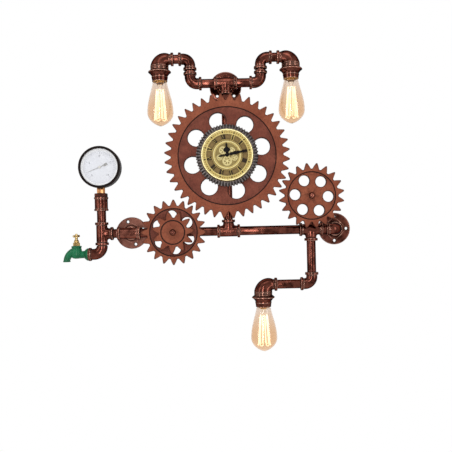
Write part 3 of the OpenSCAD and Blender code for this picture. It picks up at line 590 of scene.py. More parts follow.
class Graph(Tree):
    """The node tree of one material, with short calls for the nodes that the finishes use."""

    def __init__(self, tree: bpy.types.NodeTree) -> None:
        """Put a principled surface on the tree's output.

        Args:
            tree: The material's tree.
        """
        super().__init__(tree)
        self.surface = self.add("ShaderNodeBsdfPrincipled")
        self.output = self.add("ShaderNodeOutputMaterial", {"Surface": self.surface.outputs[0]})
        self.where = self.add("ShaderNodeTexCoord").outputs["Object"]

    def set(self, **sockets: object) -> None:
        """Set inputs of the principled surface; an underscore stands for a space in a socket's name."""
        for key, value in sockets.items():
            self.put(self.surface.inputs[key.replace("_", " ")], value)

    def noise(
        self, scale: float, detail: float = 4.0, rough: float = 0.55, stretch: Triple = (1.0, 1.0, 1.0)
    ) -> Socket:
        """Noise on Object coordinates.

        Args:
            scale: Waves in a metre.
            detail: Octaves of finer noise.
            rough: Strength of each octave against the last.
            stretch: Below 1 on an axis along which the noise is drawn out.

        Returns:
            Its value.
        """
        where = self.add("ShaderNodeMapping", {"Vector": self.where, "Scale": stretch}).outputs[0]
        sockets = {"Vector": where, "Scale": scale, "Detail": detail, "Roughness": rough}
        return self.add("ShaderNodeTexNoise", sockets).outputs[0]

    def attribute(self, name: str) -> Socket:
        """A float attribute of the mesh, zero where it has none."""
        return self.add("ShaderNodeAttribute", attribute_name=name).outputs["Fac"]

    def mix(self, share: Socket, a: Triple | Socket, b: Triple | Socket) -> Socket:
        """Blend colour a into b by the share of b."""
        return self.add("ShaderNodeMix", {0: share, 6: a, 7: b}, data_type="RGBA").outputs[2]

    def spread(
        self, value: Socket, to_low: float, to_high: float, low: float = 0.3, high: float = 0.7
    ) -> Socket:
        """Map a value from the range low to high to another range and stop at its ends."""
        sockets = {"Value": value, 1: low, 2: high, 3: to_low, 4: to_high}
        return self.add("ShaderNodeMapRange", sockets).outputs[0]

    def times(self, a: Socket, b: Socket | float) -> Socket:
        """Product of two values."""
        return self.add("ShaderNodeMath", {0: a, 1: b}, operation="MULTIPLY").outputs[0]

    def bump(self, height: Socket, strength: float, distance: float) -> Socket:
        """Normal of a surface raised by a height, with the distance in metres."""
        sockets = {"Height": height, "Strength": strength, "Distance": distance}
        return self.add("ShaderNodeBump", sockets).outputs[0]


@dataclass(frozen=True)
class Finish:
    """A surface finish: its name and the name of its slot."""

    name: str
    slot: str

    def dress(self, graph: Graph) -> None:
        """Build the nodes of the finish."""
        raise NotImplementedError

    def material(self) -> bpy.types.Material:
        """Make the finish's material when it is first asked for.

        Returns:
            The material.
        """
        found = bpy.data.materials.get(self.name)
        if found is None:
            found = bpy.data.materials.new(self.name)
            found.use_nodes = True
            self.dress(Graph(found.node_tree))
        return found


@dataclass(frozen=True)
class AgedMetal(Finish):
    """Metal with a blotchy patina: noise between two tones, bright worn edges, a darker tone in the hollows
    and painted shade where a piece asks for it.
    """

    deep: Triple
    warm: Triple
    worn: Triple
    dirt_and_shade: Triple
    smooth: float
    rough: float
    rim: Triple
    blotch: float = 55.0
    wear: float = 0.75
    pits: float = 0.25
    lacquer: float = 0.0
    grain: float = 900.0
    rub: float = 260.0

    def dress(self, graph: Graph) -> None:
        """Build the patina, the wear and the cast grain.

        Args:
            graph: The material's nodes.
        """
        patches = graph.noise(self.blotch, 6.0, 0.62)
        rub = graph.spread(graph.noise(self.rub, 3.0), 0.35 * self.wear, self.wear, 0.35, 0.65)
        tone = graph.mix(graph.spread(patches, 0.0, 1.0, 0.36, 0.66), self.deep, self.warm)
        tone = graph.mix(graph.times(graph.attribute("wear"), rub), tone, self.worn)
        tone = graph.mix(graph.spread(graph.attribute("hollowness"), 0.0, 0.85, 0.0, 1.0), tone, self.dirt_and_shade)
        # Painted shade: blend towards the darkest tone by the piece's shade attribute.
        tone = graph.mix(graph.attribute("shade_and_tint"), tone, self.dirt_and_shade)
        graph.set(Base_Color=tone, Metallic=1.0, Specular_Tint=self.rim)
        graph.set(Coat_Weight=self.lacquer, Coat_Roughness=0.12)
        graph.set(Roughness=graph.spread(patches, self.smooth, self.rough))
        graph.set(Normal=graph.bump(graph.noise(self.grain, 3.0), self.pits, 0.0004))


@dataclass(frozen=True)
class MottledPaint(Finish):
    """Matt paint: broad patches between two tones, fine flecks of a third, dark edges, darker hollows and
    painted shade.
    """

    base: Triple
    patch: Triple
    fleck: Triple
    dark: Triple
    rough: float = 0.62
    gloss: float = 0.12
    blotch: float = 30.0
    flecks: float = 0.35
    edge: float = 0.3
    speck: float = 240.0
    dust: float = 620.0

    def dress(self, graph: Graph) -> None:
        """Build the patches, the flecks and the brushed grain.

        Args:
            graph: The material's nodes.
        """
        patches = graph.noise(self.blotch, 7.0, 0.65)
        specks = graph.noise(self.speck, 5.0, 0.75)
        dust = graph.spread(graph.noise(self.dust, 2.0, 0.6), 0.0, 0.5 * self.flecks, 0.5, 0.68)
        tone = graph.mix(graph.spread(patches, 0.0, 1.0, 0.35, 0.68), self.base, self.patch)
        tone = graph.mix(graph.spread(specks, 0.0, self.flecks, 0.46, 0.66), tone, self.fleck)
        tone = graph.mix(dust, tone, self.patch)
        tone = graph.mix(graph.times(graph.attribute("wear"), self.edge), tone, self.dark)
        tone = graph.mix(graph.times(graph.attribute("hollowness"), 0.8), tone, self.dark)
        # Painted shade: blend towards the dark tone by the piece's shade attribute.
        tone = graph.mix(graph.attribute("shade_and_tint"), tone, self.dark)
        graph.set(Base_Color=tone, Specular_IOR_Level=self.gloss)
        graph.set(Roughness=graph.spread(specks, self.rough - 0.08, self.rough + 0.1))
        graph.set(Normal=graph.bump(specks, 0.2, 0.0005))


@dataclass(frozen=True)
class FloorPaint(MottledPaint):
    """Pale floor paint that looks white, also in gloss and through glass, without lighting anything."""

    glow: float = 0.55

    def dress(self, graph: Graph) -> None:
        """Build the paint and its look of white."""
        super().dress(graph)
        graph.set(Emission_Color=(self.glow,) * 3, Emission_Strength=graph.seen())


@dataclass(frozen=True)
class Enamel(Finish):
    """Enamel or plastic: slight cloudiness, chipped edges and an uneven gloss under a clear coat."""

    base: Triple
    cloud: Triple
    chip: Triple
    rough: float = 0.3
    coat: float = 0.4
    chips: float = 0.5
    gloss: float = 0.5
    blotch: float = 70.0
    speck: float = 500.0

    def dress(self, graph: Graph) -> None:
        """Build the clouds, the chips and the ripple of the coat.

        Args:
            graph: The material's nodes.
        """
        clouds = graph.noise(self.blotch, 5.0, 0.6)
        specks = graph.spread(graph.noise(self.speck, 3.0), 0.0, self.chips, 0.45, 0.6)
        tone = graph.mix(graph.spread(clouds, 0.0, 1.0, 0.35, 0.68), self.base, self.cloud)
        tone = graph.mix(graph.times(graph.attribute("wear"), specks), tone, self.chip)
        tone = graph.mix(graph.times(graph.attribute("hollowness"), 0.6), tone, self.chip)
        tone = graph.mix(graph.attribute("shade_and_tint"), tone, self.chip)
        graph.set(Base_Color=tone, Specular_IOR_Level=self.gloss)
        graph.set(Coat_Weight=self.coat, Coat_Roughness=0.12)
        graph.set(Roughness=graph.spread(clouds, self.rough - 0.06, self.rough + 0.1))
        graph.set(Normal=graph.bump(clouds, 0.08, 0.0006))


@dataclass(frozen=True)
class TintedGlass(Finish):
    """Blown glass: a tint that deepens with the mesh's tint attribute, faint cords and absorption in its
    wall.
    """

    pale: Triple
    deep: Triple
    absorb: Triple
    density: float
    rough: float = 0.02
    bend: float = 1.45

    def dress(self, graph: Graph) -> None:
        """Build the tint, the cords and the wall's absorption.

        Args:
            graph: The material's nodes.
        """
        cords = graph.noise(30.0, 3.0, 0.5, (1.0, 1.0, 0.25))
        depth = graph.times(graph.attribute("shade_and_tint"), graph.spread(cords, 0.85, 1.0))
        graph.set(Base_Color=graph.mix(depth, self.pale, self.deep), Transmission_Weight=1.0, IOR=self.bend)
        graph.set(Roughness=graph.spread(cords, 0.5 * self.rough, self.rough))
        graph.set(Normal=graph.bump(cords, 0.05, 0.0005))
        wall = graph.add("ShaderNodeVolumeAbsorption", {"Color": self.absorb, "Density": self.density})
        graph.put(graph.output.inputs["Volume"], wall.outputs[0])


@dataclass(frozen=True)
class ThinGlass(Finish):
    """Flat window glass: nearly clear, with faint smears in its gloss and its cover."""

    tint: Triple
    cover: float
    gloss: float = 0.3

    def dress(self, graph: Graph) -> None:
        """Build the smears, the cover and the gloss.

        Args:
            graph: The material's nodes.
        """
        smears = graph.noise(45.0, 4.0, 0.6, (1.0, 1.0, 0.5))
        graph.set(Base_Color=graph.mix(graph.spread(smears, 0.0, 1.0), self.tint, (1.0, 1.0, 1.0)))
        graph.set(Alpha=graph.spread(smears, 0.6 * self.cover, self.cover))
        graph.set(Roughness=graph.spread(smears, 0.14, 0.24), Specular_IOR_Level=self.gloss)
        graph.set(Normal=graph.bump(smears, 0.02, 0.0003))


@dataclass(frozen=True)
class HotWire(Finish):
    """Glowing wire: a carbon strand whose light varies a little along it."""

    carbon: Triple
    low: Triple
    high: Triple
    power: float

    def dress(self, graph: Graph) -> None:
        """Build the glow.

        Args:
            graph: The material's nodes.
        """
        flicker = graph.noise(120.0, 3.0)
        graph.set(Base_Color=graph.mix(flicker, self.carbon, self.low), Roughness=0.6)
        graph.set(Emission_Color=graph.mix(graph.spread(flicker, 0.0, 1.0), self.low, self.high))
        graph.set(Emission_Strength=self.power)


# The rim tint is black: painted shade at the grazing edges, where the bronze would reflect the white
# surroundings.
BRONZE = AgedMetal(
    "aged_bronze", "bronze", (0.03, 0.007, 0.004), (0.15, 0.045, 0.03), (0.7, 0.4, 0.3),
    (0.004, 0.0015, 0.001), 0.08, 0.16, (0.0, 0.0, 0.0), lacquer=0.06,
)
# A lighter copy of the bronze: painted light for the highlight on the left wall tee and on the bolt heads.
LIT_BRONZE = replace(BRONZE, name="lit_bronze", deep=(0.065, 0.018, 0.012), warm=(0.25, 0.085, 0.058))
# A lighter, matt copy of the bronze: painted light on the left wall flange.
LIT_FLANGE_BRONZE = AgedMetal(
    "lit_flange_bronze", "bronze", (0.095, 0.036, 0.026), (0.2, 0.084, 0.062), (0.42, 0.22, 0.17),
    (0.01, 0.004, 0.003), 0.46, 0.6, (0.3, 0.2, 0.16), 80.0,
)
BRASS = AgedMetal(
    "aged_brass", "brass", (0.24, 0.15, 0.05), (0.46, 0.33, 0.145), (0.9, 0.76, 0.46),
    (0.09, 0.05, 0.016), 0.16, 0.28, (0.6, 0.45, 0.25), 90.0,
)
STEM_BRASS = AgedMetal(
    "orange_brass", "brass", (0.3, 0.12, 0.045), (0.55, 0.28, 0.13), (0.85, 0.58, 0.36),
    (0.1, 0.035, 0.01), 0.22, 0.36, (0.6, 0.4, 0.2), 90.0,
)
GOLD = AgedMetal(
    "gold_trim", "gold", (0.4, 0.27, 0.07), (0.6, 0.45, 0.15), (0.9, 0.76, 0.4),
    (0.14, 0.08, 0.02), 0.26, 0.4, (0.8, 0.7, 0.5), 120.0,
)
CREAM_GOLD = AgedMetal(
    "cream_gold", "gold", (0.55, 0.44, 0.17), (0.72, 0.61, 0.29), (0.9, 0.82, 0.52),
    (0.3, 0.2, 0.07), 0.36, 0.5, (0.8, 0.72, 0.5), 120.0,
)
STEEL = AgedMetal(
    "plain_steel", "steel", (0.1, 0.097, 0.094), (0.18, 0.175, 0.168), (0.42, 0.41, 0.4),
    (0.03, 0.025, 0.02), 0.3, 0.45, (0.5, 0.5, 0.5), 110.0,
)
GUNMETAL = AgedMetal(
    "gunmetal_patina", "gunmetal", (0.04, 0.033, 0.033), (0.15, 0.13, 0.124), (0.24, 0.21, 0.2),
    (0.006, 0.005, 0.0045), 0.42, 0.56, (0.3, 0.27, 0.25), 260.0, 0.3, 0.6,
)
RUST = MottledPaint(
    "rust_paint", "rust", (0.215, 0.053, 0.027), (0.35, 0.105, 0.054), (0.125, 0.036, 0.02),
    (0.014, 0.005, 0.004), flecks=0.75,
)
RUST_WEB = replace(
    RUST, name="rust_paint_web", base=(0.155, 0.039, 0.025), patch=(0.255, 0.074, 0.046),
    fleck=(0.085, 0.028, 0.018),
)
DIAL_GOLD = MottledPaint(
    "dial_gold", "gold", (0.5, 0.365, 0.1), (0.62, 0.475, 0.145), (0.33, 0.22, 0.055),
    (0.1, 0.06, 0.02), 0.45, 0.2, 60.0, 0.3, 0.1,
)
DIAL_PALE = MottledPaint(
    "dial_pale_gold", "gold", (0.78, 0.66, 0.27), (0.88, 0.77, 0.38), (0.58, 0.44, 0.15),
    (0.25, 0.17, 0.05), 0.4, 0.25, 60.0, 0.3, 0.1,
)
KHAKI = MottledPaint(
    "khaki_plaque", "gold", (0.215, 0.138, 0.046), (0.255, 0.17, 0.058), (0.15, 0.09, 0.03),
    (0.06, 0.035, 0.01), 0.55, 0.2, 70.0, 0.3, 0.15,
)
OLIVE_GOLD = MottledPaint(
    "olive_gold", "gold", (0.22, 0.155, 0.04), (0.3, 0.22, 0.06), (0.13, 0.085, 0.022),
    (0.06, 0.035, 0.01), 0.5, 0.3, 90.0, 0.4, 0.15,
)
INK = MottledPaint(
    "dial_ink", "black", (0.02, 0.012, 0.006), (0.032, 0.019, 0.009), (0.05, 0.03, 0.015),
    (0.008, 0.005, 0.003), 0.6, 0.15, 90.0, 0.2, 0.1,
)
GREY_INK = MottledPaint(
    "gauge_ink", "black", (0.2, 0.205, 0.23), (0.26, 0.265, 0.29), (0.15, 0.155, 0.17),
    (0.1, 0.1, 0.11), 0.5, 0.3, 90.0, 0.2, 0.1,
)
PALE_INK = MottledPaint(
    "gauge_pale_ink", "black", (0.5, 0.51, 0.56), (0.56, 0.57, 0.62), (0.44, 0.45, 0.5),
    (0.3, 0.3, 0.34), 0.5, 0.3, 90.0, 0.2, 0.1,
)
AMBER = MottledPaint(
    "amber_insulator", "brass", (0.72, 0.36, 0.06), (0.85, 0.48, 0.1), (0.5, 0.22, 0.03),
    (0.2, 0.08, 0.01), 0.4, 0.4, 120.0, 0.3, 0.1,
)
BLACK = Enamel(
    "black_enamel", "black", (0.004, 0.003, 0.003), (0.008, 0.006, 0.006), (0.03, 0.02, 0.015),
    0.4, 0.0, 0.3, 0.05,
)
CASE_BLACK = Enamel(
    "gauge_case_black", "black", (0.006, 0.004, 0.004), (0.014, 0.008, 0.007), (0.05, 0.03, 0.02),
    0.45, 0.0, 0.4, 0.05,
)
WHITE = Enamel(
    "dial_white", "dial", (0.8, 0.81, 0.86), (0.84, 0.85, 0.89), (0.7, 0.71, 0.74), 0.65, 0.0, 0.1, 0.1
)
RING_WHITE = Enamel(
    "ring_white", "dial", (0.93, 0.93, 0.94), (0.96, 0.96, 0.96), (0.8, 0.8, 0.81), 0.6, 0.0, 0.1, 0.2
)
CAP_WHITE = Enamel(
    "pointer_cap_white", "dial", (0.8, 0.78, 0.7), (0.88, 0.86, 0.8), (0.26, 0.23, 0.16),
    0.4, 0.0, 0.9, 0.3,
)
CERAMIC = Enamel(
    "glazed_ceramic", "ceramic", (0.72, 0.7, 0.66), (0.8, 0.78, 0.74), (0.45, 0.42, 0.38), 0.3, 0.5
)
GREEN = Enamel(
    "green_enamel", "green", (0.003, 0.105, 0.038), (0.006, 0.16, 0.062), (0.002, 0.03, 0.013),
    0.3, 0.03, 0.6, 0.2,
)
MOVEMENT = Enamel(
    "movement_case", "movement", (0.02, 0.02, 0.022), (0.04, 0.04, 0.042), (0.12, 0.12, 0.12), 0.45, 0.1
)
BULB_GLASS = TintedGlass(
    "amber_bulb_glass", "bulb_glass", (0.9, 0.85, 0.81), (0.89, 0.72, 0.54), (0.85, 0.62, 0.42), 260.0
)
STEM_GLASS = TintedGlass(
    "amber_stem_glass", "stem_glass", (0.98, 0.94, 0.86), (0.9, 0.8, 0.66), (0.95, 0.86, 0.66), 15.0,
    bend=1.12,
)
CLEAR_GLASS = ThinGlass("gauge_pane_glass", "clear_glass", (0.9, 0.92, 0.96), 0.1)
FILAMENT = HotWire(
    "hot_filament", "filament", (0.3, 0.16, 0.06), (1.0, 0.86, 0.62), (1.0, 0.97, 0.88), 1.7
)
FLOOR_PAINT = FloorPaint(
    "studio_floor_paint", "", (0.8, 0.8, 0.8), (0.84, 0.84, 0.84), (0.78, 0.78, 0.78),
    (0.7, 0.7, 0.7), 0.8,
)


def stand(name: str, data: bpy.types.ID) -> bpy.types.Object:
    """Make an object of some data and put it in the scene.

    Args:
        name: Name of the object.
        data: Its mesh, lamp or camera.

    Returns:
        The object.
    """
    made = bpy.data.objects.new(name, data)
    bpy.context.scene.collection.objects.link(made)
    return made


def dress(mesh: bpy.types.Mesh, finish: Finish) -> None:
    """Give a mesh a finish as its only material."""
    mesh.materials.clear()
    mesh.materials.append(finish.material())


@dataclass
class Assembly:
    """A sub-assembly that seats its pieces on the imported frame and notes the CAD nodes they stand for."""

    replaced: set[str]
    body: Body = Body.PIPEWORK

    def piece(
        self, name: str, shape: Sculpt, finish: Finish, *nodes: str, body: Body | None = None
    ) -> None:
        """Make a shape a piece and seat it."""
        self.seat(shape.mesh(name), finish, *nodes, body=body)

    def seat(self, mesh: bpy.types.Mesh, finish: Finish, *nodes: str, body: Body | None = None) -> None:
        """Make a mesh a piece of its name that rides on a body, and report it.

        Args:
            mesh: The piece's mesh.
            finish: Its finish.
            nodes: CAD nodes that it stands for.
            body: The body that carries it, if not the sub-assembly's own.
        """
        carrier = (body or self.body).value
        dress(mesh, finish)
        made = stand(mesh.name, mesh)
        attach(made, carrier)
        if nodes:
            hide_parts(*nodes)
            self.replaced.update(nodes)
        LOG.info("%s: %d faces, %s, on %s", made.name, len(mesh.polygons), finish.name, carrier)


# Side of each arm, its outward and its inward direction.
SIDES = ((-1, Way.LEFT, Way.RIGHT), (1, Way.RIGHT, Way.LEFT))


@dataclass
class Pipework(Assembly):
    """Pipes, elbows, tees and wall flanges of the bronze frame."""

    pipe_r: float = 11.0
    bore_r: float = 8.0
    body_r: float = 13.5
    socket_r: float = 11.1
    band_r: float = 16.25
    reach: float = 28.0
    grip: float = 10.0
    bend_r: float = 17.0
    fillet: float = 5.0
    soft: float = 1.1
    arm_x: float = 86.5
    riser: float = 61.0
    lamp_x: float = 161.0
    lamp_grip: float = 24.5
    run_z: float = -363.0
    left_x: float = -245.0
    gauge_x: float = -311.0
    right_x: float = 201.5
    wall_x: float = 267.5
    drop_z: float = -496.0
    drop_lamp_x: float = 81.5
    tap_z: float = -413.0
    tap_mouth: float = 33.0
    street_r: float = 20.0
    street_end: float = 10.6
    nipple_depth: float = 32.0
    nipple_l: float = 24.0
    flange_t: float = 6.0
    rim_r: float = 37.6
    hub_foot: float = 22.0
    hub_h: float = 18.0
    entry_r: float = 8.5
    screw_at: float = 30.0
    screw_r: float = 3.5
    coupling_low: float = -307.0
    coupling_high: float = -273.0
    coupling_r: float = 17.25
    hex_r: float = 16.7
    hex_t: float = 9.0

    @property
    def tail(self) -> float:
        """Distance from a fitting's centre to the end of the pipe in its socket."""
        return self.reach - self.grip

    def port(self, body_r: float) -> tuple[list, list]:
        """Corners of a port as (distance in from its face, radius).

        Args:
            body_r: Radius of the fitting behind the port's band.

        Returns:
            Its rounded band outside and its socket inside.
        """
        band = self.band_r
        lip = [(0.0, band - 0.9), (0.9, band), (5.6, band), (6.5, band - 0.9)]
        inside = [(self.grip, self.bore_r), (self.grip, self.socket_r), (0.0, self.socket_r)]
        return lip + [(6.9, body_r - 0.8), (7.9, body_r)], inside

    def shell(self, length: float, plain_end: float = 0.0) -> Array:
        """Closed profile of a fitting along its path: out along the outside, back through the bore.

        Args:
            length: Length of the path.
            plain_end: Length of a plain pipe end in place of the first port, if any.

        Returns:
            Rows of (distance along the path, radius).
        """
        near, near_in = self.port(self.body_r)
        far = [(length - along, radius) for along, radius in near[::-1]]
        far_in = [(length - along, radius) for along, radius in near_in[::-1]]
        if plain_end:
            near = [(0.0, self.pipe_r), (plain_end, self.pipe_r), (plain_end + 1.5, self.body_r)]
            near_in = [(0.0, self.bore_r)]
        return fine(rounded(near + far + far_in + near_in, self.soft), 2.0)

    def branch(self, shape: Sculpt, at: Array, way: Way, run: Way) -> None:
        """Add a tee's outlet.

        At each angle it springs from the run's cylinder of radius R, where a circle of radius r stands
        sqrt(R^2 - r^2 sin^2) high, by a fillet that spreads with the squared cosine, and rises to its port.

        Args:
            shape: Shape to add it to.
            at: Centre of the tee.
            way: Direction of the outlet.
            run: Direction of the run.
        """
        turn = angles(PLAIN)[None]
        neck = self.body_r - 0.15
        spread = self.fillet * np.cos(turn) ** 2
        base = np.sqrt(np.maximum(self.body_r ** 2 - (neck * np.sin(turn)) ** 2, 0.0))
        foot = np.sqrt(np.maximum(self.body_r ** 2 - ((neck + spread) * np.sin(turn)) ** 2, 0.0)) - 0.2
        t = np.linspace(0.0, 1.0, 8)[:, None]
        radius = (1 - t) ** 2 * (neck + spread) + 2 * t * (1 - t) * neck + t ** 2 * neck
        height = (1 - t) ** 2 * foot + 2 * t * (1 - t) * base + t ** 2 * (base + spread + 0.3)
        outside, inside = self.port(neck)
        line = [(radius_at, self.reach - along) for along, radius_at in outside[::-1] + inside[::-1]]
        port = rounded(line + [(0.0, self.tail)], self.soft, 4, closed=False)[1:]
        radius = np.concatenate([0 * turn, radius, np.broadcast_to(port[:, :1], (len(port), PLAIN))])
        height = np.concatenate([0 * turn, height, np.broadcast_to(port[:, 1:], (len(port), PLAIN))])
        side = np.cross(way.along, run.along)
        across = np.cos(turn)[..., None] * run.along + np.sin(turn)[..., None] * side
        shape.grid(at + radius[..., None] * across + height[..., None] * way.along)

    def tee(self, node: str, at: Array, run: Way, *outlets: Way) -> None:
        """Build a tee: its run turned round one axis and a branch for each outlet.

        Args:
            node: CAD node that it stands for.
            at: Its centre.
            run: Direction of the run.
            outlets: Directions of the outlets.
        """
        shape = Sculpt()
        shape.turned(self.shell(2 * self.reach)[:, ::-1], at - self.reach * run.along, run)
        for way in outlets:
            self.branch(shape, at, way, run)
        # The left wall tee takes the lighter bronze, a painted highlight.
        finish = LIT_BRONZE if node == "left_wall_tee" else BRONZE
        self.piece(f"{node}_cast", shape, finish, node)

    def elbow(self, shape: Sculpt, at: Array, first: Way, second: Way) -> None:
        """Add an elbow: the fitting's profile carried round a quarter bend."""
        bend = Bend(at, first, second, self.reach, self.reach, self.bend_r)
        shape.grid(bend.carry(self.shell(bend.length)), rows=True)

    def flange(self, node: str, at: Array, turn: float) -> None:
        """Build a wall flange: a plate with four screw holes, a rolled rim and a hub that sweeps up.

        Args:
            node: CAD node that it stands for.
            at: Its centre on the wall plane.
            turn: Angle of its first screw hole in degrees.
        """
        shape = Sculpt(weld=True)
        top, high, foot = self.flange_t, self.hub_h, self.hub_foot
        plate = HoledRing(foot, self.rim_r, 4, self.screw_at, self.screw_r, 0.0, top, turn)
        plate.build(shape, at)
        rim = [
            (self.rim_r, top), (38.9, top - 0.3), (39.8, top - 1.4), (40.0, 3.0), (40.0, 0.8), (39.4, 0.0),
            (self.rim_r, 0.0),
        ]
        # Painted shade on the rolled rim, darker towards the wall.
        rim_shade = np.array([0.0, 0.0, 0.0, 0.15, 0.3, 0.4, 0.4])
        shape.turned(rim, at, Way.FRONT, plate.columns, rim_shade, plate.start)
        sweep = [(foot, top), (20.6, top + 0.5), (19.2, top + 2.0), (18.2, 10.5), (17.3, 13.2)]
        lip = [(16.9, 14.0), (17.6, 14.6), (17.6, 17.0), (16.8, high), (12.0, high)]
        socket = [(self.socket_r, high - 0.8), (self.socket_r, 8.0)]
        entry = [(self.entry_r, 8.0), (self.entry_r, 0.0), (foot, 0.0)]
        hub = rounded(sweep + lip + socket + entry, 0.7, 4, closed=False)
        shape.turned(hub, at, Way.FRONT, plate.columns, 0.0, plate.start)
        # The left wall flange takes the lighter bronze, painted light.
        finish = LIT_FLANGE_BRONZE if node == "left_wall_flange" else BRONZE
        self.piece(f"{node}_cast", shape, finish, node)

    def tubes(self) -> dict[str, list[tuple[Array, Way, float]]]:
        """Every straight pipe and nipple between the fittings.

        Returns:
            For each CAD node the start, direction and length of its tubes.
        """
        tail, run, drop = self.tail, self.run_z, self.drop_z
        lamp_end = self.drop_lamp_x + self.lamp_grip
        cross = self.lamp_x - self.lamp_grip - self.arm_x - tail
        walls = ((0, 0), (self.left_x, run), (self.wall_x, run))
        arms, risers, crosses = [], [], []
        for side, way, inward in SIDES:
            arms.append((spot(side * tail, 0), way, self.arm_x - 2 * tail))
            risers.append((spot(side * self.arm_x, tail), Way.UP, self.riser - 2 * tail))
            crosses.append((spot(side * (self.arm_x + tail), self.riser), way, cross))
        links = [
            (spot(x + tail, run), Way.RIGHT, end - x - 2 * tail)
            for x, end in ((self.gauge_x, self.left_x), (self.right_x, self.wall_x))
        ]
        return {
            "arm_pipes": arms,
            "column_pipe": [(spot(0, -tail), Way.DOWN, -run - 2 * tail)],
            "left_run_pipe": [(spot(-tail, run), Way.LEFT, -self.left_x - 2 * tail)],
            "right_run_pipe": [(spot(tail, run), Way.RIGHT, self.right_x - 2 * tail)],
            "drop_pipe": [(spot(self.right_x, run - tail), Way.DOWN, run - drop - 2 * tail)],
            "drop_arm_pipe": [(spot(lamp_end, drop), Way.RIGHT, self.right_x - lamp_end - tail)],
            "gauge_pipe": [
                (spot(self.gauge_x, run + tail), Way.UP, self.coupling_low + self.grip - run - tail)
            ],
            "wall_nipples": [
                (spot(x, z, self.nipple_depth), Way.WALL, self.nipple_l) for x, z in walls
            ],
            "close_nipples": risers + crosses + links,
        }

    def pipes(self) -> None:
        """Build every pipe and nipple, a turned tube with rounded ends, one piece for each CAD node."""
        for node, tubes in self.tubes().items():
            shape = Sculpt()
            for start, way, length in tubes:
                outside, bore = [(self.pipe_r, 0.0), (self.pipe_r, length)], [(self.bore_r, length)]
                shape.turned(rounded(outside + bore + [(self.bore_r, 0.0)], 0.6, 3), start, way)
            self.piece(f"{node}_drawn", shape, BRONZE, node)

    def elbows(self) -> None:
        """Build the arms' and the drop's elbows, the right wall elbow and the street elbow."""
        shape, wall, street = Sculpt(), Sculpt(), Sculpt()
        for side, outward, inward in SIDES:
            self.elbow(shape, spot(side * self.arm_x, 0), inward, Way.UP)
            self.elbow(shape, spot(side * self.arm_x, self.riser), outward, Way.DOWN)
        self.elbow(shape, spot(self.right_x, self.drop_z), Way.LEFT, Way.UP)
        self.piece("pipe_elbows_cast", shape, BRONZE, "pipe_elbows")
        self.elbow(wall, spot(self.wall_x, self.run_z), Way.LEFT, Way.WALL)
        self.piece("right_wall_elbow_cast", wall, BRONZE, "right_wall_elbow")
        lead = self.run_z - self.tail - self.tap_z
        corner = spot(self.gauge_x, self.tap_z)
        bend = Bend(corner, Way.UP, Way.LEFT, lead, self.tap_mouth, self.street_r)
        street.grid(bend.carry(self.shell(bend.length, self.street_end)), rows=True)
        self.piece("street_elbow_cast", street, BRONZE, "street_elbow")

    def coupling(self) -> None:
        """Build the gauge's coupling, a sleeve with a lip at each end, its screw and its hex bush."""
        at = spot(self.gauge_x, self.coupling_low)
        top = spot(self.gauge_x, self.coupling_high)
        high = self.coupling_high - self.coupling_low
        outer, body = self.coupling_r, self.coupling_r - 1.4
        lip = [(outer - 0.8, 0.0), (outer, 0.8), (outer, 4.2), (outer - 0.8, 5.0)]
        near = lip + [(body - 0.4, 5.4), (body, 6.2)]
        far = [(radius, high - along) for radius, along in near[::-1]]
        inside = [(self.socket_r, high), (self.socket_r, 0.0)]
        shape, screw, bush = Sculpt(), Sculpt(), Sculpt()
        shape.turned(fine(rounded(near + far + inside, 0.7), 3.0), at, Way.UP)
        self.piece("gauge_coupling_sleeve", shape, BRONZE, "gauge_coupling")
        dimple = [(0.0, 13.0), (2.6, 13.0), (2.6, 15.7), (2.0, 16.1), (1.4, 15.4), (0.0, 15.0)]
        middle = at + 0.5 * high * Way.UP.along
        screw.turned(rounded(dimple, 0.2, 3, closed=False), middle, Way.FRONT, 24)
        self.piece("gauge_coupling_screw", screw, BLACK)
        bush.slab(polar(self.hex_r, angles(6, np.pi / 6)), 0.0, self.hex_t, top, Way.UP, 1.0)
        bush.turned(rounded([(10.9, 0.5), (10.9, -10.0), (6.0, -10.0), (6.0, 0.5)], 0.4), top, Way.UP)
        self.piece("gauge_bush_hex", bush, BRONZE, "gauge_bush")

    def build(self) -> None:
        """Build the whole frame."""
        run = self.run_z
        self.pipes()
        self.elbows()
        self.tee("top_tee", spot(0.0, 0.0), Way.RIGHT, Way.DOWN, Way.WALL)
        self.tee("middle_tee", spot(0.0, run), Way.RIGHT, Way.UP)
        self.tee("left_wall_tee", spot(self.left_x, run), Way.RIGHT, Way.WALL)
        self.tee("right_tee", spot(self.right_x, run), Way.RIGHT, Way.DOWN)
        self.tee("gauge_tee", spot(self.gauge_x, run), Way.UP, Way.RIGHT)
        self.flange("top_wall_flange", spot(0.0, 0.0, 0.0), 45.0)
        self.flange("left_wall_flange", spot(self.left_x, run, 0.0), 18.0)
        self.flange("right_wall_flange", spot(self.wall_x, run, 0.0), 0.0)
        self.coupling()


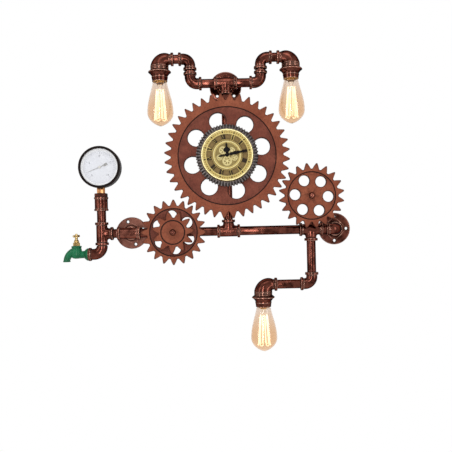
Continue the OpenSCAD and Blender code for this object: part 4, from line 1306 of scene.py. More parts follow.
@dataclass
class Lamps(Assembly):
    """The three hanging lamps: elbow, flared holder, bulb and filament; heights count down from the arm."""

    mouth: float = 25.5
    pivot_x: float = 24.0
    pivot_h: float = 16.0
    neck_r: float = 13.05
    cup_r: float = 22.3
    swell: float = 0.85
    columns: int = 72
    bulb_top: float = 49.5
    bulb_neck_r: float = 18.0
    bulb_r: float = 32.0
    shoulder: float = 58.5
    widest: float = 130.8
    tip: float = 163.5
    glass_t: float = 0.8
    tint_l: float = 60.0
    cage_r: float = 12.5
    cage_flare: float = 3.0
    cage_top: float = 76.5
    cage_low: float = 146.0
    strands: int = 12
    strand_points: int = 12
    loop_points: int = 9
    part: float = 0.2
    wire_r: float = 0.95

    def places(self) -> tuple[tuple[Array, Way], ...]:
        """Each lamp's point on its arm's axis and the direction of its arm."""
        arms = [(spot(side * Pipework.lamp_x, Pipework.riser), inward) for side, outward, inward in SIDES]
        return *arms, (spot(Pipework.drop_lamp_x, Pipework.drop_z), Way.RIGHT)

    def elbow_line(self) -> Array:
        """Closed profile of a lamp elbow.

        Returns:
            Rows of (run, radius): the run is below 0 along the neck, goes from 0 to 1 round the turn and
            counts millimetres down the cup after that.
        """
        neck, cup = self.neck_r, self.cup_r
        down = 1.0 - self.pivot_h
        port = [(-10.5, 15.35), (-9.6, 16.25), (-4.9, 16.25), (-4.0, 15.35), (-3.6, neck - 0.7)]
        turn = [(share, neck + (cup - neck) * share) for share in np.linspace(0.0, 1.0, 15)]
        groove = cup - 0.7
        grooves = [
            (17.4, cup), (18.0, groove), (18.8, groove), (19.4, cup), (21.6, cup), (22.2, groove),
            (23.0, groove), (23.6, cup), (self.mouth, cup - 0.4),
        ]
        inside = [(self.mouth + down, 19.3), (18.3 + down, 19.3), (1.0, 17.0), (0.0, 8.0), (-0.5, 8.0)]
        socket = [(-0.5, 11.1), (-10.5, 11.1)]
        outside = port + [(-2.6, neck)] + turn + [(height + down, radius) for height, radius in grooves]
        return fine(rounded(outside + inside + socket, 0.5), 0.8)

    def elbow(self, shape: Sculpt, at: Array, arm: Way) -> None:
        """Add a lamp elbow: circles in planes that turn a quarter round a pivot under the neck.

        A circle reaches from an inner distance from the pivot, which falls evenly from neck to cup, to an
        outer one, which grows. The neck runs straight in before the turn and the cup straight out after it.

        Args:
            shape: Shape to add it to.
            at: Point where the arm's axis meets the lamp's.
            arm: Direction of the arm.
        """
        neck, cup, up = self.neck_r, self.cup_r, Way.UP.along
        line = self.elbow_line()
        run, radius = line[:, 0], line[:, 1]
        share = np.clip(run, 0.0, 1.0)
        phi = share * QUARTER
        inner = (self.pivot_h - neck) * (1.0 - share) + (self.pivot_x - cup) * share
        grown = self.pivot_x + cup - self.pivot_h - neck
        outer = self.pivot_h + neck + grown * share ** self.swell
        middle = (inner + outer) / 2
        size = radius / (neck + (cup - neck) * share) * (outer - inner) / 2
        out = np.cos(phi)[:, None] * up - np.sin(phi)[:, None] * arm.along
        pivot = at + self.pivot_x * arm.along - self.pivot_h * up
        pivot = pivot - np.minimum(run, 0.0)[:, None] * arm.along
        pivot = pivot - np.maximum(run - 1.0, 0.0)[:, None] * up
        t = angles(PLAIN)[None, :, None]
        across = np.cos(t) * out[:, None] + np.sin(t) * np.cross(arm.along, up)
        shape.grid((pivot + middle[:, None] * out)[:, None] + size[:, None, None] * across, rows=True)

    def holder(self) -> Array:
        """Profile of a lampholder: a spigot, a collar that flares to a sharp ring and a tapering sleeve.

        Returns:
            Rows of (radius, height).
        """
        spigot = [(18.9, 18.5), (18.9, 25.6), (22.0, 25.6), (23.2, 26.6), (24.6, 27.2), (25.4, 28.4)]
        collar = [(27.2, 29.4), (28.0, 30.6), (28.0, 31.6), (26.0, 33.2), (24.4, 34.0), (22.6, 36.6)]
        sleeve = [(20.6, 38.9), (19.9, 40.5), (19.7, 43.0), (20.3, 44.0), (19.6, 45.2), (18.5, 52.6)]
        inside = [(18.8, 53.4), (18.3, 54.5), (15.6, 54.5), (15.6, 32.0), (16.2, 31.2), (16.2, 18.5)]
        return fine(rounded(spigot + collar + sleeve + inside, 0.5), 2.0)

    def bulb(self) -> tuple[Array, Array]:
        """A bulb: a neck, a sine-shaped swell and a bluntly rounded tip, hollow but for the glass.

        Returns:
            Rows of (radius, height) of its profile, and the tint of each, which grows downwards.
        """
        swell = np.linspace(0.0, 1.0, 30)
        close = np.linspace(0.0, 1.0, 26)[1:]
        grown = self.bulb_r - self.bulb_neck_r
        radius = self.bulb_neck_r + grown * np.sin(swell * QUARTER) ** 1.25
        height = self.shoulder + (self.widest - self.shoulder) * swell
        rise = np.sin(close * QUARTER)
        end = self.bulb_r * np.maximum(1.0 - rise ** 2, 0.0) ** 0.7
        end[-1] = 0.0
        outside = np.vstack([
            [[12.6, self.bulb_top], [12.6, 52.5], [13.4, 54.6], [15.2, 56.4]],
            np.stack([radius, height], -1),
            np.stack([end, self.widest + (self.tip - self.widest) * rise], -1),
        ])
        inner = np.maximum(outside[:, 0] - self.glass_t, 0.0)
        inside = np.stack([inner, np.minimum(outside[:, 1], self.tip - self.glass_t)], -1)
        line = np.vstack([inside[::-1], outside])
        return line, np.clip((line[:, 1] - self.shoulder) / self.tint_l, 0.0, 1.0)

    def filament(self) -> tuple[Array, Array]:
        """A filament: one wire up and down the strands of a cage, with a half circle at each end.

        The strands stand at equal angles, but those at the front and the back lean by `part` radians.

        Returns:
            Points of its path from the lamp's own, and the outward direction at each.
        """
        step = FULL / self.strands
        low, high, points = self.cage_low, self.cage_top, self.strand_points
        turn = np.linspace(0.0, np.pi, self.loop_points)
        loop_h = 0.5 * self.cage_r * np.sin(step / 2)
        place = (np.arange(self.strands) + 0.5) * step
        place = place - self.part * np.sign(np.sin(2 * place)) * (np.abs(np.sin(place)) > 0.9)
        path = []
        for strand, here in enumerate(place):
            falls = strand % 2 == 0
            start, end = (high, low) if falls else (low, high)
            path.append(np.stack([np.full(points, here), np.linspace(start, end, points)], -1))
            if strand + 1 < self.strands:
                swing = here + (place[strand + 1] - here) * 0.5 * (1.0 - np.cos(turn))
                loop = end + (1.0 if falls else -1.0) * loop_h * np.sin(turn)
                path.append(np.stack([swing, loop], -1)[1:-1])
        line = np.vstack(path)
        along = (line[:, 1] - high) / (low - high)
        ring = polar(self.cage_r + self.cage_flare * (2.0 * along - 1.0), line[:, 0])
        local = np.hstack([ring, line[:, 1:]])
        side = np.hstack([polar(1.0, line[:, 0]), 0 * line[:, 1:]])
        return local @ Way.DOWN.axes, side @ Way.DOWN.axes

    def build(self) -> None:
        """Build the lamps, one piece for each kind of part; a cap's edge is a collar with a cone in it."""
        elbows, holders, bulbs, wires, rims = (Sculpt() for part in range(5))
        collar = [(13.3, 52.4), (15.5, 52.4), (15.5, 54.0), (17.0, 54.6), (17.0, 55.0), (15.0, 55.2)]
        cone = [(11.65, 50.2), (11.7, 51.0), (9.6, 57.2), (8.9, 58.6), (8.75, 58.4), (9.4, 56.8)]
        glass, tint = self.bulb()
        path, side = self.filament()
        for at, arm in self.places():
            self.elbow(elbows, at, arm)
            holders.turned(self.holder(), at, Way.DOWN, self.columns)
            bulbs.turned(glass, at, Way.DOWN, self.columns, tint)
            wires.wire(at + path, side, self.wire_r)
            rims.turned(rounded(collar + [(13.3, 54.6)], 0.3), at, Way.DOWN, self.columns)
            rims.turned(cone + [(11.55, 50.4)], at, Way.DOWN, BOLT)
        self.piece("bulb_cap_edges", rims, AMBER)
        self.piece("lamp_elbows_cast", elbows, BRONZE, "lamp_elbows")
        self.piece("lampholder_shells_turned", holders, BRONZE, "lampholder_shells")
        self.piece("bulb_glasses_blown", bulbs, BULB_GLASS, "bulb_glasses")
        self.piece("bulb_filaments_wound", wires, FILAMENT, "bulb_filaments")


@dataclass(frozen=True)
class Gear:
    """Sizes and shapes of one gear."""

    node: str
    body: Body
    x: float
    z: float
    teeth: int
    tip: float
    root: float
    groove: float
    turn: float
    hub: float
    back: float = 68.25
    front: float = 78.25
    holes: int = 6
    hole_at: float = 40.0
    hole_r: float = 13.0
    paint: Finish = RUST
    tip_w: float = 2.7
    valley_w: float = 5.25
    dip: float = 1.05
    groove_w: float = 2.4
    groove_t: float = 1.5
    bed_w: float = 4.5
    edge: float = 0.8
    edge_w: float = 1.7
    flank_points: int = 5

    @property
    def at(self) -> Array:
        """Centre of the gear on the wall plane."""
        return spot(self.x, self.z, 0.0)

    def outline(self) -> tuple[Array, Array]:
        """The gear's outline: each tooth goes from a dipped valley up a straight flank to a flat tip.

        Returns:
            Angles and radii round the gear.
        """
        pitch = FULL / self.teeth
        tip = 0.5 * self.tip_w / self.tip
        valley = 0.5 * self.valley_w / self.root
        flank = np.linspace(-pitch / 2 + valley, -tip, self.flank_points)
        climb = np.linspace(self.root, self.tip, self.flank_points)
        angle = np.concatenate([[-pitch / 2], flank, [0.0], -flank[::-1]])
        radius = np.concatenate([[self.root - self.dip], climb, [self.tip], climb[::-1]])
        every = np.radians(self.turn) + pitch * np.arange(self.teeth)[:, None] + angle
        return every.ravel(), np.tile(radius, self.teeth)

    def rim(self) -> Sculpt:
        """Shape of the toothed rim: rings that change from the groove's circle to the outline and back.

        Returns:
            The shape.
        """
        angle, radius = self.outline()
        front, back = self.front, self.back
        bed = self.root - self.bed_w
        groove = self.groove + self.groove_w / 2
        floor = front - self.groove_t - 0.05
        lowered = np.maximum(radius - self.edge_w, bed + 1.0)
        deeper = bed + (radius - bed) * 0.72
        tooth = np.clip((radius - self.root) / (self.tip - self.root), 0.0, 1.0)
        shape = Sculpt()
        # The third number of each row is painted shade: darkest on the groove's floor and the teeth's side
        # walls, growing towards the tooth tips on the front face and on the back near the outline.
        shape.rings([
            (groove, front, 0.3), (groove + 1.3, front, 0.0), (bed, front, 0.0),
            (deeper, front, 0.02 + 0.10 * tooth), (lowered, front, 0.12 + 0.42 * tooth ** 2),
            (radius, front - self.edge, 0.55 + 0.3 * tooth), (radius, back + self.edge, 0.85),
            (lowered, back, 0.5), (bed, back, 0.1), (groove - self.groove_w, back, 0.1),
            (groove - self.groove_w, floor, 1.0), (groove, floor, 1.0),
        ], angle, self.at)
        return shape

    def web(self) -> Sculpt:
        """Shape of the web inside the groove: a holed ring with its outer step and bore, or a turned disc.

        Returns:
            The shape.
        """
        back, front, hub = self.back, self.front, self.hub
        outer = self.groove - self.groove_w / 2
        floor = front - self.groove_t
        step = [(outer, front), (outer, floor), (outer + 1.0, floor), (outer + 1.0, back), (outer, back)]
        bore = [(hub, back), (hub, front)]
        # Painted shade on the step's rows, darkest on the groove's wall and floor, and in the bore.
        shade_and_tint = np.array([0.25, 0.9, 1.0, 0.3, 0.1])
        shape = Sculpt(weld=self.holes > 0)
        if not self.holes:
            shade_and_tint = np.concatenate([[0.2, 0.1, 0.0], shade_and_tint])
            shape.turned(bore + [(outer - 1.4, front)] + step, self.at, Way.FRONT, SMOOTH, shade_and_tint)
            return shape
        ring = HoledRing(hub, outer, self.holes, self.hole_at, self.hole_r, back, front, self.turn)
        ring.build(shape, self.at)
        shape.turned(step, self.at, Way.FRONT, ring.columns, shade_and_tint, ring.start)
        shape.turned(bore, self.at, Way.FRONT, ring.columns, 0.5, ring.start)
        return shape


BIG = Gear(
    "big_gear", Body.BIG_GEAR, 0.0, -181.5, 40, 151.3, 136.7, 117.75, 14.0, 8.0,
    holes=8, hole_at=85.8, hole_r=20.55, paint=RUST_WEB,
)
LEFT = Gear(
    "left_gear", Body.LEFT_GEAR, -132.976, -363.0, 20, 78.8, 65.55, 57.0, 35.3, 12.0, paint=RUST_WEB
)
RIGHT = Gear("right_gear", Body.RIGHT_GEAR, 201.5, -281.614, 20, 78.8, 65.55, 57.0, 115.7, 6.6)
FRONT = Gear(
    "front_gear", Body.LEFT_GEAR, -132.976, -363.0, 11, 51.2, 35.9, 28.2, 5.0, 6.6, 87.25, 97.25, 0
)


@dataclass
class Gears(Assembly):
    """The four gears and the round-headed bolts they turn on."""

    dome_r: float = 7.5
    dome_h: float = 6.8
    dome_z: float = 2.4
    seat_gap: float = 0.3

    def bolts(self) -> None:
        """Build the bolts: a domed head on a washer for the small gears and a flat head in the big one."""
        shape = Sculpt()
        rise = np.linspace(0.0, QUARTER, 14)
        dome = np.stack([self.dome_r * np.cos(rise), self.dome_z + self.dome_h * np.sin(rise)], -1)
        dome[-1, 0] = 0.0
        for gear, tail in ((FRONT, 31.0), (RIGHT, 55.0)):
            seat = gear.front + self.seat_gap
            foot = [(4.0, tail - seat), (4.0, 0.0), (7.2, 0.0), (7.5, 0.3), (7.5, 1.4), (7.1, 1.8)]
            profile = np.vstack([(0.0, tail - seat), foot, dome])
            shape.turned(profile, spot(gear.x, gear.z, seat), Way.FRONT, BOLT)
        flat = [(0.0, 31.0), (5.0, 31.0), (5.0, 73.95), (9.5, 73.95), (9.5, 77.6), (0.0, 77.9)]
        shape.turned(rounded(flat, 0.4, 3, closed=False), BIG.at, Way.FRONT, BOLT)
        # The bolt heads take the lighter bronze, a painted highlight.
        self.piece("gear_bolts_turned", shape, LIT_BRONZE, "gear_bolts")

    def build(self) -> None:
        """Build each gear as a toothed rim that stands for its node and a web inside it, then the bolts."""
        for gear in (BIG, LEFT, RIGHT, FRONT):
            self.piece(f"{gear.node}_rim", gear.rim(), RUST, gear.node, body=gear.body)
            self.piece(f"{gear.node}_web", gear.web(), gear.paint, body=gear.body)
        self.bolts()


def sector(inner: float, outer: float, angle: float, half: float, steps: int = 8) -> Array:
    """Outline of a ring's sector.

    Args:
        inner: Inner radius.
        outer: Outer radius.
        angle: Angle of its middle in radians.
        half: Half of the angle that it spans.
        steps: Points on each arc.

    Returns:
        Rows of (a, b) round the sector.
    """
    arc = np.linspace(angle - half, angle + half, steps)
    return np.vstack([polar(outer, arc), polar(inner, arc[::-1])])


@dataclass
class Dial(Assembly):
    """A round sub-assembly that faces the viewer."""

    x: float = 0.0
    z: float = 0.0

    @property
    def at(self) -> Array:
        """Its centre on the wall plane."""
        return spot(self.x, self.z, 0.0)

    def disc(
        self, name: str, line: Array | list, finish: Finish, *nodes: str, count: int = SMOOTHEST
    ) -> None:
        """Make one profile, turned round the centre, a piece.

        Args:
            name: Name of the piece.
            line: Rows of (radius, depth).
            finish: Its finish.
            nodes: CAD nodes that it stands for.
            count: Columns round the centre.
        """
        shape = Sculpt()
        shape.turned(line, self.at, Way.FRONT, count)
        self.piece(name, shape, finish, *nodes)


class Numeral(Enum):
    """Letters of Roman numerals: strokes (from x, y, to x, y, share of the thickness) and their width."""

    I = (((0.0, 0.0, 0.0, 1.0, 1.0),), 0.5)
    V = (((-0.36, 1.0, 0.0, 0.0, 1.0), (0.36, 1.0, 0.0, 0.0, 0.45)), 0.95)
    X = (((-0.36, 1.0, 0.36, 0.0, 1.0), (0.36, 1.0, -0.36, 0.0, 0.45)), 0.95)


@dataclass
class Clock(Dial):
    """The clock on the big gear: ribbed ring, dial with plaques, numerals and rosette, bezel and hands."""

    x: float = BIG.x
    z: float = BIG.z
    body: Body = Body.BIG_GEAR
    ring_back: float = 78.25
    ring_front: float = 87.25
    ring_inner: float = 62.0
    ring_root: float = 72.5
    ring_tip: float = 75.0
    ribs: int = 60
    rib_points: int = 8
    rib_t: float = 0.9
    bed: float = 95.0
    ink: float = 95.1
    face: float = 95.2
    turn: float = 11.0
    numeral_foot: float = 37.0
    numeral_h: float = 12.4
    letter_w: float = 4.8
    stroke: float = 2.1
    word_w: float = 9.6
    hour_angle: float = 93.5
    hour_l: float = 31.0
    hour_back: float = 97.55
    minute_angle: float = 11.0
    minute_l: float = 49.0
    minute_back: float = 99.35
    hand_t: float = 0.8
    hours: tuple[str, ...] = ("XII", "I", "II", "III", "IIII", "V", "VI", "VII", "VIII", "IX", "X", "XI")

    def clock_angle(self, hour: float) -> float:
        """Angle of an hour in radians, clockwise, with twelve the dial's turn short of straight up."""
        return np.radians(90.0 + self.turn - 30.0 * hour)

    def ring(self) -> None:
        """Build the ring: its outline and its front swing in and out with the ribs of a knurled wheel."""
        turn = angles(self.ribs * self.rib_points)
        wave = np.clip(1.6 * np.cos(self.ribs * turn), -1.0, 1.0) * 0.5 + 0.5
        tip = self.ring_root + (self.ring_tip - self.ring_root) * wave
        inner, front, back = self.ring_inner, self.ring_front, self.ring_back
        low, valley_shade = front - self.rib_t * (1 - wave), 0.3 * (1 - wave)
        shape = Sculpt()
        # The third number of each row is painted shade: in the valleys between the ribs, on the inner wall
        # and round the outer edge towards the back.
        shape.rings([
            (inner, back, 0.6), (inner, front - 0.5, 0.3), (inner + 0.8, front, 0.0), (65.0, front, 0.0),
            (65.8, low, valley_shade), (70.8, low, valley_shade), (71.6, front - 0.3, 0.2),
            (tip - 0.7, front - 0.5, 0.4 * (1 - wave)), (tip, front - 1.4, 0.5 * (1 - wave)),
            (tip, back + 0.6, 0.6), (tip - 0.7, back, 0.7),
        ], turn, self.at)
        self.piece("clock_ring_knurled", shape, GUNMETAL, "clock_ring")

    def case(self) -> None:
        """Build the case's side, a drum with a rolled edge, and the bezel, a rounded ring before it."""
        drum = [(60.2, 78.3), (61.9, 78.3), (61.9, 92.6), (61.2, 94.0), (60.2, 94.0)]
        ring = [(58.0, 95.3), (62.0, 95.3), (62.0, 96.4), (61.0, 98.0), (59.4, 98.2), (58.2, 96.6)]
        self.disc("clock_case_drum", rounded(drum, 0.5), GOLD, "clock_case")
        self.disc("clock_bezel_ring", rounded(ring, 0.7), CREAM_GOLD, "clock_bezel")

    def dial(self) -> None:
        """Build the dial's plate, its raised rings and the plaques between the hours."""
        bed, face = self.bed, self.face
        plate = [(0.0, 94.1), (61.8, 94.1), (61.8, face), (4.2, face), (0.0, face)]
        self.disc("clock_dial_plate", plate, DIAL_GOLD, "clock_dial")
        rings, plaques = Sculpt(), Sculpt()
        for inner, outer, high in (
            (31.0, 33.4, 96.0), (28.6, 29.2, 95.7), (50.4, 51.4, 95.6), (56.8, 58.4, 95.7)
        ):
            wall = [
                (inner, bed), (inner, high - 0.2), (inner + 0.25, high), (outer - 0.25, high),
                (outer, high - 0.2), (outer, bed),
            ]
            rings.turned(wall, self.at, Way.FRONT, SMOOTHEST)
        self.piece("clock_dial_rings", rings, DIAL_PALE)
        hoop = [(33.8, bed), (33.8, 95.4), (35.4, 95.4), (35.4, bed)]
        plaques.turned(hoop, self.at, Way.FRONT, SMOOTHEST)
        for hour in range(len(self.hours)):
            plaque = sector(36.4, 49.6, self.clock_angle(hour + 0.5), np.radians(10.4))
            plaques.slab(plaque, bed, 95.55, self.at, edge=0.3)
        self.piece("clock_dial_plaques", plaques, KHAKI)

    def numeral(self, shape: Sculpt, word: str, angle: float) -> None:
        """Add an hour: each stroke of its letters a thin plate, turned to stand on the dial's centre.

        Args:
            shape: Shape to add it to.
            word: The hour's letters.
            angle: Angle in radians by which it is turned from straight up.
        """
        letters = [Numeral[letter].value for letter in word]
        width = sum(share for strokes, share in letters) * self.letter_w
        squeeze = min(1.0, self.word_w / width)
        wide = self.letter_w * squeeze
        bold = self.stroke * (1.5 if len(word) == 1 else 1.15)
        left = -width * squeeze / 2
        for strokes, share in letters:
            centre = left + share * wide / 2
            left += share * wide
            for x0, y0, x1, y1, weight in strokes:
                half = 0.5 * bold * weight * squeeze
                a, b = centre + x0 * wide, centre + x1 * wide
                top, low = self.numeral_foot + y0 * self.numeral_h, self.numeral_foot + y1 * self.numeral_h
                plate = np.array([[a - half, top], [a + half, top], [b + half, low], [b - half, low]])
                shape.slab(swung(plate, angle), self.ink, 95.85, self.at, edge=0.15)

    def numerals(self) -> None:
        """Build the hours and the minute track round them."""
        shape = Sculpt()
        for hour, word in enumerate(self.hours):
            self.numeral(shape, word, self.clock_angle(hour) - QUARTER)
        for minute in range(60):
            inner, outer, half = (52.4, 56.4, 1.5) if minute % 5 == 0 else (53.4, 55.6, 0.6)
            mark = sector(inner, outer, self.clock_angle(minute / 5), np.radians(half), 3)
            shape.slab(mark, self.ink, 95.6, self.at, edge=0.1)
        self.piece("clock_dial_numerals", shape, INK)

    def rosette(self) -> None:
        """Build the centre: a dark floor under a train of plain spoked wheels, and a boss for the hands."""
        floor = [(0.0, self.bed), (28.4, self.bed), (28.4, 95.35), (0.0, 95.35)]
        self.disc("clock_rosette_floor", floor, OLIVE_GOLD, count=SMOOTH)
        shape = Sculpt()
        for x, z, radius, spokes in (
            (-10.0, 11.0, 9.5, 5), (11.0, 9.5, 8.5, 6), (0.0, -14.5, 12.0, 6), (-18.0, -6.0, 7.5, 5),
            (17.5, -7.0, 8.0, 5),
        ):
            self.wheel(shape, self.at + np.array([x, 0.0, z]), radius, spokes)
        boss = [(0.0, 95.2), (6.4, 95.2), (6.4, 96.2), (5.4, 97.0), (4.2, 97.2), (0.0, 97.2)]
        shape.turned(rounded(boss, 0.4, 3, closed=False), self.at, Way.FRONT, BOLT)
        self.piece("clock_rosette", shape, DIAL_PALE)

    def wheel(self, shape: Sculpt, at: Array, radius: float, spokes: int) -> None:
        """Add a plain wheel: a rim whose edge r + a cos(n t) is toothed, straight spokes and a hub.

        Args:
            shape: Shape to add it to.
            at: Centre of the wheel on the wall plane.
            radius: Radius of its edge.
            spokes: How many spokes it has.
        """
        low, high = self.face, 95.8
        teeth = int(2.2 * radius)
        turn = angles(4 * teeth)
        edge = radius - 0.5 + 0.5 * np.cos(teeth * turn)
        inner = 0.62 * radius
        shape.rings([(inner, low, 0.0), (inner, high, 0.0), (edge, high, 0.0), (edge, low, 0.0)], turn, at)
        along = [0.0, 0.3, 0.74 * radius, 0.75 * radius]
        for spoke in angles(spokes, 0.4 * radius):
            shape.blade(along, [0.0, 0.9, 1.2, 0.0], low, high - 0.05, at, spoke)
        hub = [(0.0, low), (0.25 * radius, low), (0.22 * radius, 96.0), (0.0, 96.1)]
        shape.turned(hub, at, Way.FRONT, 20)

    def hands(self) -> None:
        """Build the hands: blades whose half width swells and pinches along them, on a tube and a pin."""
        hour, minute = Sculpt(), Sculpt()
        low, high = self.hour_back, self.hour_back + self.hand_t
        along = [-6.0, -5.0, 0.0, 5.0, 8.0, 10.5, 13.0, 16.0, 18.5, 20.5, 23.0, 27.0, self.hour_l]
        half = [0.0, 1.6, 2.0, 2.8, 5.4, 8.2, 8.6, 5.6, 2.4, 1.7, 2.8, 1.3, 0.0]
        hour.blade(along, half, low, high, self.at, np.radians(self.hour_angle))
        tube = [(2.5, 86.95), (2.5, low), (5.0, low), (5.0, high), (1.6, high), (1.6, 86.95)]
        hour.turned(rounded(tube, 0.2, 3), self.at, Way.FRONT, COARSE)
        self.piece("hour_hand_cut", hour, BLACK, "hour_hand", body=Body.HOUR_HAND)
        low, high = self.minute_back, self.minute_back + self.hand_t
        along = [
            -20.6, -18.5, -15.0, -11.0, -6.0, 0.0, 6.0, 11.0, 14.0, 17.0, 20.0, 23.0, 26.0, 29.0, 32.0,
            36.0, 43.0, self.minute_l,
        ]
        half = [0.0, 2.2, 2.5, 1.5, 1.8, 2.4, 2.6, 3.8, 2.6, 3.9, 4.2, 3.2, 3.9, 3.4, 2.0, 2.3, 1.5, 0.0]
        minute.blade(along, half, low, high, self.at, np.radians(self.minute_angle))
        pin = [(0.0, 83.95), (1.5, 83.95), (1.5, low), (3.6, low), (3.6, 100.4), (2.6, 101.5)]
        pin = rounded(pin + [(0.0, 101.75)], 0.3, 3, closed=False)
        minute.turned(pin, self.at, Way.FRONT, COARSE)
        self.piece("minute_hand_cut", minute, BLACK, "minute_hand", body=Body.MINUTE_HAND)

    def build(self) -> None:
        """Build the clock from the gear outwards."""
        self.ring()
        self.case()
        self.dial()
        self.numerals()
        self.rosette()
        self.hands()


@dataclass
class Gauge(Dial):
    """The pressure gauge on its square brass stem."""

    x: float = Pipework.gauge_x
    z: float = -200.5
    face: float = 60.5
    number_at: float = 27.0
    number_h: float = 7.5
    number_t: float = 0.06
    ticks: int = 32
    tick_end: float = 37.0
    stem_half: float = 8.5
    stem_cut: float = 1.6
    stem_low: float = -278.0
    stem_high: float = -241.0
    pointer_angle: float = 202.0
    pointer_l: float = 36.5
    zero_angle: float = 225.0
    sweep: float = 270.0
    numbers: tuple[int, ...] = (0, 4, 8, 12, 16)

    def scale_angle(self, share: float) -> float:
        """Angle in radians of a share of the scale, clockwise from its zero."""
        return np.radians(self.zero_angle - self.sweep * share)

    def case(self) -> None:
        """Build the case, a drum with a rounded back, the bezel, the dial, its sloped ring and the pane."""
        face = self.face
        drum = [
            (0.0, 31.0), (44.0, 31.0), (50.0, 36.0), (50.0, 61.0), (48.6, 61.0), (48.6, 36.6), (43.6, 32.6),
            (0.0, 32.6),
        ]
        rim = [
            (48.8, 61.0), (51.0, 61.0), (51.0, 67.6), (50.0, 69.0), (46.0, 69.0), (44.9, 68.0),
            (44.9, 66.2), (48.6, 66.0),
        ]
        flat = [(0.0, face - 1.0), (48.3, face - 1.0), (48.3, face), (3.2, face), (0.0, face)]
        wedge = [(40.4, 60.4), (48.2, 60.4), (48.2, 63.8), (46.6, 63.8), (40.4, 60.7)]
        lens = [(0.0, 63.9), (48.3, 63.9), (48.3, 65.9), (0.0, 65.9)]
        drum = fine(rounded(drum, 3.0, 6, closed=False), 4.0, False)
        flat = fine(rounded(flat, 0.2, 4, closed=False), 5.0, False)
        lens = fine(rounded(lens, 0.3, 3, closed=False), 6.0, False)
        self.disc("gauge_case_drum", drum, CASE_BLACK, "gauge_case")
        self.disc("gauge_bezel_ring", rounded(rim, 0.6), CASE_BLACK, "gauge_bezel")
        self.disc("gauge_dial_plate", flat, WHITE, "gauge_dial")
        self.disc("gauge_dial_slope", fine(rounded(wedge, 0.2, 3), 2.0), RING_WHITE)
        self.disc("gauge_glass_pane", lens, CLEAR_GLASS, "gauge_glass", count=SMOOTH)

    def scale(self) -> None:
        """Build the scale: short and long ticks as thin plates, and plain numbers."""
        shape = Sculpt()
        for tick in range(self.ticks + 1):
            inner, half = (31.0, 0.016) if tick % 8 == 0 else (33.4, 0.009)
            mark = sector(inner, self.tick_end, self.scale_angle(tick / self.ticks), half, 2)
            shape.slab(mark, self.face - 0.1, self.face + 0.12, self.at, edge=0.05)
        self.piece("gauge_scale_ticks", shape, PALE_INK)
        for place, number in enumerate(self.numbers):
            self.number(number, self.scale_angle(place / (len(self.numbers) - 1)))

    def number(self, number: int, angle: float) -> None:
        """Build one number of the scale from Blender's own lettering, set flat on the dial.

        Args:
            number: The number.
            angle: Its angle on the dial in radians.
        """
        text = bpy.data.curves.new(f"gauge_number_{number}", "FONT")
        text.body = str(number)
        text.align_x = "CENTER"
        text.align_y = "CENTER"
        text.size = self.number_h
        text.extrude = self.number_t
        text.resolution_u = 3
        letters = bpy.data.objects.new("letters", text)
        mesh = bpy.data.meshes.new_from_object(letters)
        bpy.data.objects.remove(letters)
        flat = read(mesh.vertices, "co", 3).astype(float)
        flat[:, :2] += polar(self.number_at, angle)
        flat[:, 2] += self.face + self.number_t
        points = (self.at + flat @ Way.FRONT.axes) * MM
        mesh.vertices.foreach_set("co", points.astype(np.float32).ravel())
        mesh.update()
        mesh.name = f"gauge_number_{number}"
        self.seat(mesh, GREY_INK)

    def pointer(self) -> None:
        """Build the pointer, a thin tapering blade with a wedge tail, and the cap on its spindle."""
        shape, cap = Sculpt(), Sculpt()
        along = [-20.2, -19.6, -16.0, -12.0, -7.0, 0.0, 5.0, 14.0, 28.0, self.pointer_l]
        half = [0.0, 3.2, 3.8, 2.6, 1.0, 0.9, 0.8, 0.65, 0.45, 0.0]
        shape.blade(along, half, 61.3, 61.9, self.at, np.radians(self.pointer_angle))
        self.piece("gauge_pointer_blade", shape, STEEL, "gauge_pointer", body=Body.GAUGE_POINTER)
        line = [(0.0, 53.5), (1.5, 53.5), (1.5, 61.2), (3.0, 61.2), (3.0, 62.2), (2.3, 62.7), (0.0, 62.7)]
        cap.turned(rounded(line, 0.25, 3, closed=False), self.at, Way.FRONT, PIN)
        self.piece("gauge_pointer_cap", cap, CAP_WHITE, body=Body.GAUGE_POINTER)

    def stem(self) -> None:
        """Build the stem: a square brass block with its corners cut off."""
        side = self.stem_half
        cut = side - self.stem_cut
        corner = np.array([[side, -cut], [side, cut]])
        square = np.vstack([swung(corner, turn * QUARTER) for turn in range(4)])
        shape = Sculpt()
        shape.slab(square, self.stem_low, self.stem_high, spot(self.x, 0.0), Way.UP, 0.5)
        self.piece("gauge_stem_block", shape, STEM_BRASS, "gauge_stem")

    def build(self) -> None:
        """Build the gauge."""
        self.case()
        self.scale()
        self.pointer()
        self.stem()


